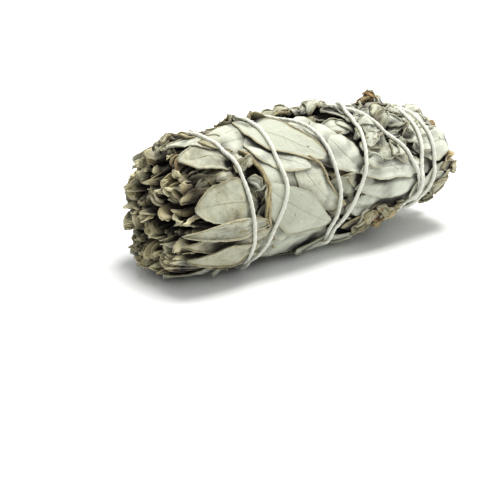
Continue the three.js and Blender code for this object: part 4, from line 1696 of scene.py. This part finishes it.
def crumb_flake(bench):
    """A flat bent flake, one unit long."""
    ball = bench.node("GeometryNodeMeshIcoSphere", None, {"Radius": 0.5, "Subdivisions": 1})
    x = bench.node("ShaderNodeSeparateXYZ", None, {0: bench.node("GeometryNodeInputPosition")})
    sockets = {"X": x, "Y": x.part("Y") * 0.55, "Z": x.part("Z") * 0.14 + x * x * 0.8}
    bent = bench.node("ShaderNodeCombineXYZ", None, sockets)
    return bench.node("GeometryNodeSetPosition", None, {"Geometry": ball, "Position": bent})


def crumb_tree():
    """Scatters flakes on the open leaves of a sprig."""
    tree, bench, wires = geometry_tree("leaf_crumbs", {
        "Density": 6000.0, "Lowest": 0.005, "Least Size": 0.0004, "Most Size": 0.0011,
        "Seed": 1, "Material": sage_felt,
    })
    seed = wires["Seed"]
    deep = bench.node("GeometryNodeInputNamedAttribute", {"data_type": "FLOAT"}, {"Name": "deep"})
    axes = bench.node("ShaderNodeSeparateXYZ", None, {0: bench.node("GeometryNodeInputPosition")})
    over_lowest = axes.part("Z") / wires["Lowest"] - 1
    open_and_high = over_lowest.maths("MINIMUM", CRUMB_OPEN - deep, over_lowest)
    sockets = {0: open_and_high, 1: 0.0}
    lies_open = bench.node("FunctionNodeCompare", {"operation": "GREATER_THAN"}, sockets)
    points = bench.node("GeometryNodeDistributePointsOnFaces", None, {
        "Mesh": wires["Geometry"], "Selection": lies_open,
        "Density": wires["Density"], "Seed": seed,
    })
    placed = bench.node("GeometryNodeInstanceOnPoints", None, {
        "Points": points, "Instance": crumb_flake(bench),
        "Rotation": spun(bench, points.part("Rotation"), CRUMB_TILT, seed),
        "Scale": random_size(bench, wires["Least Size"], wires["Most Size"], seed),
    })
    finish_tree(bench, joined_with(bench, wires["Geometry"], placed), wires["Material"])
    return tree


leaf_crumbs = crumb_tree()
print("crumb tree", leaf_crumbs.name)

# %% [markdown]
# ## Sprigs
#
# Each sprig is one piece: its leaves, its packed middle and its crumbs. The solids' leaves and
# their middle are one body too, so each finished piece takes the place of one solid. The crumbs
# come from the tree without looks of their own, and are given the dryness of broken leaf.

# %% Sprig pieces
CRUMB_DRYNESS = 0.7


def dry_from(mesh, first):
    """Sets the dryness of all points from a number on."""
    values = mesh.attributes["dry"].data
    dryness = np.empty(len(values), np.float32)
    values.foreach_get("value", dryness)
    dryness[first:] = CRUMB_DRYNESS
    values.foreach_set("value", dryness)


for number, (heap, index) in enumerate(zip(heaps, ORDER), start=1):
    leaves = linked(f"heap_{number}", heap.mesh(f"heap_{number}", sage_felt))
    core = linked(f"core_{number}", core_mesh(index, f"core_{number}", sage_felt))
    with bpy.context.temp_override(active_object=leaves, selected_editable_objects=[leaves, core]):
        bpy.ops.object.join()
    before = len(leaves.data.vertices)
    sage = run_tree(f"sprig_{number}_sage", leaves, leaf_crumbs, Seed=number)
    dry_from(sage.data, before)
    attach(sage, "root")
    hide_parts(f"sprig_{number}_leaves")
    print(sage.name, len(sage.data.polygons), "faces")

# %% [markdown]
# ## String
#
# The string lies on the pressed leaves and follows its route round the bundle. Where two turns
# cross, the later one climbs over the earlier. The heights come from the map of the pile, smoothed,
# because a string under tension bridges small hollows.

# %% String path
PATH_STEP = 1.0
CROSSING_GAP = 2 * STRING_RADIUS * 0.9
STRING_LOWEST = 0.7
STRING_HIGHEST = 1.9


def blur(values, reach):
    """Moving average with soft ends."""
    kernel = np.hanning(2 * reach + 3)[1:-1]
    kernel = kernel / kernel.sum()
    return np.convolve(np.pad(values, reach, mode="edge"), kernel, mode="valid")


def crossing_lift(running, stations):
    """How far each place of the string climbs over the earlier turns that it crosses."""
    lift = np.zeros_like(stations)
    earlier = running - 360.0
    while np.any(earlier >= running[0]):
        apart = string_station(earlier) - stations
        slope = np.abs(np.gradient(apart, running))
        gap = np.abs(apart) / np.sqrt(1 + (slope * 3) ** 2)
        climb = np.sqrt(np.maximum(0, CROSSING_GAP**2 - gap**2))
        lift = np.maximum(lift, np.where(earlier >= running[0], climb, 0))
        earlier = earlier - 360.0
    return lift


def string_heights(running, stations):
    """How high the string sits over the pressed leaves along its route."""
    resting = blur(np.maximum(read_stack(stations, running % 360), -0.6), 5)
    height = np.clip(resting + STRING_RADIUS * 0.75, STRING_LOWEST, STRING_HIGHEST)
    lift = crossing_lift(running, stations)
    return blur(height, 6) + np.maximum(blur(lift, 4), 0.9 * lift)


running = np.arange(STRING_ROUTE[0, 1], STRING_ROUTE[-1, 1] + 0.5, PATH_STEP)
stations = string_station(running)
heights = string_heights(running, stations)
radii = bundle_radius(stations, running) - dent(stations, running) + heights
string_points = place(stations, running, radii, STRING_RADIUS + 0.1)
string_length = np.linalg.norm(np.diff(string_points, axis=0), axis=1).sum()
print("string round the bundle", round(float(string_length)), "mm")

# %% [markdown]
# ## Tails and knot
#
# The two ends meet low on the back in an overhand knot and run out in short tails. A trefoil curve,
# which one line of sines and cosines draws, is an overhand knot with its ends joined, and the tails
# start inside it.

# %% Tails and knot
TAILS = [  # station and angle, from the knot outwards
    [[18.0, 242], [14.0, 239], [9.5, 234]],
    [[18.0, 242], [21.5, 250], [23.0, 262]],
]
TAIL_KEYS = np.array([0.0, 0.5, 1.0])
TAIL_SIT = 0.8
KNOT_SIZE = 0.52
KNOT_DEPTH = 1.15


def tail_points(tail):
    """A short loose end that lies along the bundle."""
    tail = np.array(tail, float)
    share = np.linspace(0, 1, 40)
    station = smooth_value(TAIL_KEYS, tail[:, 0], share)
    angle = smooth_value(TAIL_KEYS, tail[:, 1], share)
    top = np.maximum(read_stack(station, angle), -0.4)
    radius = bundle_radius(station, angle) - dent(station, angle) + blur(top, 5) + TAIL_SIT
    return place(station, angle, radius + 0.5 * (1 - share) ** 2, TAIL_SIT)


def knot_points():
    """A closed overhand knot that sits where the two ends meet."""
    turn = np.linspace(0, math.tau, 120)
    local = np.stack([
        np.sin(turn) + 2 * np.sin(2 * turn),
        np.cos(turn) - 2 * np.cos(2 * turn),
        -KNOT_DEPTH * np.sin(3 * turn),
    ], axis=1) * KNOT_SIZE
    station, angle = TAILS[0][0]
    centre = place(station, angle, bundle_radius(station, angle) + STRING_SIT + 0.5, 0)
    out = np.array([0, -math.sin(math.radians(angle)), math.cos(math.radians(angle))])
    lengthways = np.array([1.0, 0, 0])
    round_way = np.cross(out, lengthways)
    return centre + local[:, :1] * lengthways + local[:, 1:2] * round_way + local[:, 2:] * out


paths = [string_points[::2], knot_points()] + [tail_points(tail) for tail in TAILS]
print("string paths", [len(path) for path in paths])

# %% [markdown]
# ## Cotton
#
# Undyed cotton is a warm off-white with a dull surface. A fine noise paints shade between the fibres
# and roughens it, and a wide one gives the faint stains that the leaves leave on it.

# %% Cotton finish
def cotton_finish():
    """The finish of the string."""
    material, bench, shader = material_bench("cotton_ply")
    where = bench.object_place()
    fibres = bench.noise(where, 2600.0, 4.0, 0.65)
    stains = bench.noise(where, 120.0, 2.0).step(0.55, 0.8)
    # Painted shade: the fine noise darkens the string where its bump sinks, between the fibres.
    colour = bench.mix((0.7, 0.7, 0.6, 1), (0.88, 0.885, 0.8, 1), fibres.step(0.25, 0.75))
    colour = bench.mix(colour, (0.68, 0.66, 0.52, 1), stains * 0.4)
    sockets = {"Base Color": colour, "Roughness": 0.85 + fibres * 0.1, "Sheen Weight": 0.3}
    bench.feed(shader, sockets)
    bench.bump(shader, fibres, 0.6, 0.0002)
    return material


cotton = cotton_finish()
print("cotton finish", cotton.name)

# %% [markdown]
# ## Twisted string
#
# The string is three-ply cotton. Three twisted tubes would give that too, at three times the faces.
# Here one outline with three lobes is swept along the path and turned as it goes, which gives the
# twist of the plies. Loose fibres stand out of it all along.

# %% String tree
PLIES = 3
FIBRE_SIDES = 3
FIBRE_RADIUS = 0.016
FIBRE_TILT = 0.5


def ply_outline(bench, sides, radius, lobe):
    """A round outline with one lobe for each ply."""
    circle = circle_outline(bench, sides, radius)
    share = bench.node("GeometryNodeSplineParameter")
    lobes = 1 + lobe * ((share * PLIES * math.tau).cosine() - 0.35)
    sockets = {0: bench.node("GeometryNodeInputPosition"), "Scale": lobes}
    scaled = bench.node("ShaderNodeVectorMath", {"operation": "SCALE"}, sockets)
    return bench.node("GeometryNodeSetPosition", None, {"Geometry": circle, "Position": scaled})


def loose_fibre(bench):
    """One bent fibre, one unit long."""
    sockets = {"Resolution": 4, "Start": (0, 0, 0), "Middle": (0.6, 0, 0.1), "End": (1, 0.3, 0.4)}
    line = bench.node("GeometryNodeCurveQuadraticBezier", None, sockets)
    return swept(bench, line, circle_outline(bench, FIBRE_SIDES, FIBRE_RADIUS))


def string_tree():
    """Sweeps the twisted outline along a path and sets fibres on it."""
    tree, bench, wires = geometry_tree("three_ply_string", {
        "Radius": STRING_RADIUS * 0.00088, "Lobe": 0.08, "Lay": 0.0062, "Sides": 15,
        "Fibre Gap": 0.001, "Least Fibre": 0.001, "Most Fibre": 0.0017,
        "Seed": 3, "Material": cotton,
    })
    seed = wires["Seed"]
    curve = bench.node("GeometryNodeMeshToCurve", None, {0: wires["Geometry"]})
    along = bench.node("GeometryNodeSplineParameter").part("Length")
    sockets = {"Curve": curve, "Tilt": along / wires["Lay"] * math.tau}
    curve = bench.node("GeometryNodeSetCurveTilt", None, sockets)
    outline = ply_outline(bench, wires["Sides"], wires["Radius"], wires["Lobe"])
    sockets = {"Geometry": swept(bench, curve, outline)}
    smooth = bench.node("GeometryNodeSetShadeSmooth", None, sockets)

    sockets = {"Curve": curve, "Length": wires["Fibre Gap"]}
    roots = bench.node("GeometryNodeCurveToPoints", {"mode": "LENGTH"}, sockets)
    fibres = bench.node("GeometryNodeInstanceOnPoints", None, {
        "Points": roots, "Instance": loose_fibre(bench),
        "Rotation": spun(bench, roots.part("Rotation"), FIBRE_TILT, seed),
        "Scale": random_size(bench, wires["Least Fibre"], wires["Most Fibre"], seed),
    })
    finish_tree(bench, joined_with(bench, smooth, fibres), wires["Material"])
    return tree


three_ply = string_tree()
print("string tree", three_ply.name)

# %% [markdown]
# ## The string as one piece
#
# The turns round the bundle, the knot and the tails are swept together, because they are one
# string. Fibres that point down at the lowest turns would reach into the table, so they are bent up
# to it.

# %% String piece
FIBRE_FLOOR = 0.00005
string = run_tree("cotton_string", path_object("string_path", paths), three_ply)
places = np.empty(3 * len(string.data.vertices), np.float32)
string.data.vertices.foreach_get("co", places)
places[2::3] = np.maximum(places[2::3], FIBRE_FLOOR)
string.data.vertices.foreach_set("co", places)
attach(string, "root")
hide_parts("string")
print("string faces", len(string.data.polygons))

# %% [markdown]
# ## Stems
#
# Each sprig ends in a woody stem that was cut off square. It stands a few millimetres out of the
# leaves. The six outer stems stand in a circle and lean a little as they go, and the heart's stem
# runs along the middle.

# %% Stem paths
STEM_RADIUS = 1.7
STEM_CIRCLE = 11.6
STEM_TURN = 6
STEM_START = 34
STEM_END = 103
STEM_STAGGER = 1.3


def stem_path(index):
    """The middle line of one sprig's stem."""
    share = np.linspace(0, 1, 50)
    end = STEM_END - (index % 3) * STEM_STAGGER
    angle = index * SECTOR + STEM_TURN + 3 * np.sin(3 * share)
    radius = 0 * share if index == SPRIGS else STEM_CIRCLE * (1 - 0.12 * share)
    return place(STEM_START + (end - STEM_START) * share, angle, radius, 0)


stem_paths = [stem_path(index) for index in ORDER]
print("stem paths", len(stem_paths))

# %% [markdown]
# ## Bark and cut wood
#
# The bark is brown with a grain along the stem, and the cut shows pale wood. One finish serves
# both: where the surface faces along the bundle it is the cut, so no separate face has to be
# picked.

# %% Bark finish
def bark_finish():
    """The finish of the stems."""
    material, bench, shader = material_bench("dry_stem")
    where = bench.object_place()
    sockets = {"Vector": where, "Scale": (90, 1500, 1500)}
    grain = bench.noise(bench.node("ShaderNodeMapping", None, sockets), 1.0, 4.0, 0.6)
    colour = bench.mix((0.12, 0.07, 0.03, 1), (0.36, 0.27, 0.15, 1), grain.step(0.3, 0.75))
    facing = bench.node("ShaderNodeNewGeometry", None, None, "Normal")
    cut = bench.node("ShaderNodeSeparateXYZ", None, {0: facing}).step(0.75, 0.95)
    pith = bench.noise(where, 900.0, 2.0)
    wood = bench.mix((0.3, 0.25, 0.13, 1), (0.52, 0.46, 0.29, 1), pith)
    sockets = {"Base Color": bench.mix(colour, wood, cut), "Roughness": 0.75 + grain * 0.2}
    bench.feed(shader, sockets)
    bench.bump(shader, grain, 0.7, 0.0003)
    return material


bark = bark_finish()
print("bark finish", bark.name)

# %% [markdown]
# ## Uneven round stems
#
# A dried stem is round but slightly shrunken and knotty. Geometry Nodes sweep a circle along its
# line, and noise moves each point in or out by a fraction of a millimetre.

# %% Stem tree
STEM_SIDES = 20
STEM_ROUGHNESS = 0.0005


def stem_tree():
    """Sweeps a slightly uneven stem along a path."""
    tree, bench, wires = geometry_tree("woody_stem", {"Radius": STEM_RADIUS * MM, "Material": bark})
    curve = bench.node("GeometryNodeMeshToCurve", None, {0: wires["Geometry"]})
    stem = swept(bench, curve, circle_outline(bench, STEM_SIDES, wires["Radius"]))
    rough = bench.noise(bench.node("GeometryNodeInputPosition"), 500.0, 2.0)
    sockets = {0: bench.node("GeometryNodeInputNormal"), "Scale": (rough - 0.5) * STEM_ROUGHNESS}
    offset = bench.node("ShaderNodeVectorMath", {"operation": "SCALE"}, sockets)
    uneven = bench.node("GeometryNodeSetPosition", None, {"Geometry": stem, "Offset": offset})
    finish_tree(bench, uneven, wires["Material"])
    return tree


woody_stem = stem_tree()
print("stem tree", woody_stem.name)

# %% [markdown]
# ## The stems as pieces
#
# One stem for each sprig, in the sprigs' order, so each takes the place of its own solid.

# %% Stem pieces
for number, path in enumerate(stem_paths, start=1):
    stem = run_tree(f"sprig_{number}_twig", path_object("stem_path", [path]), woody_stem)
    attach(stem, "root")
    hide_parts(f"sprig_{number}_stem")
print("stems", len(stem_paths))
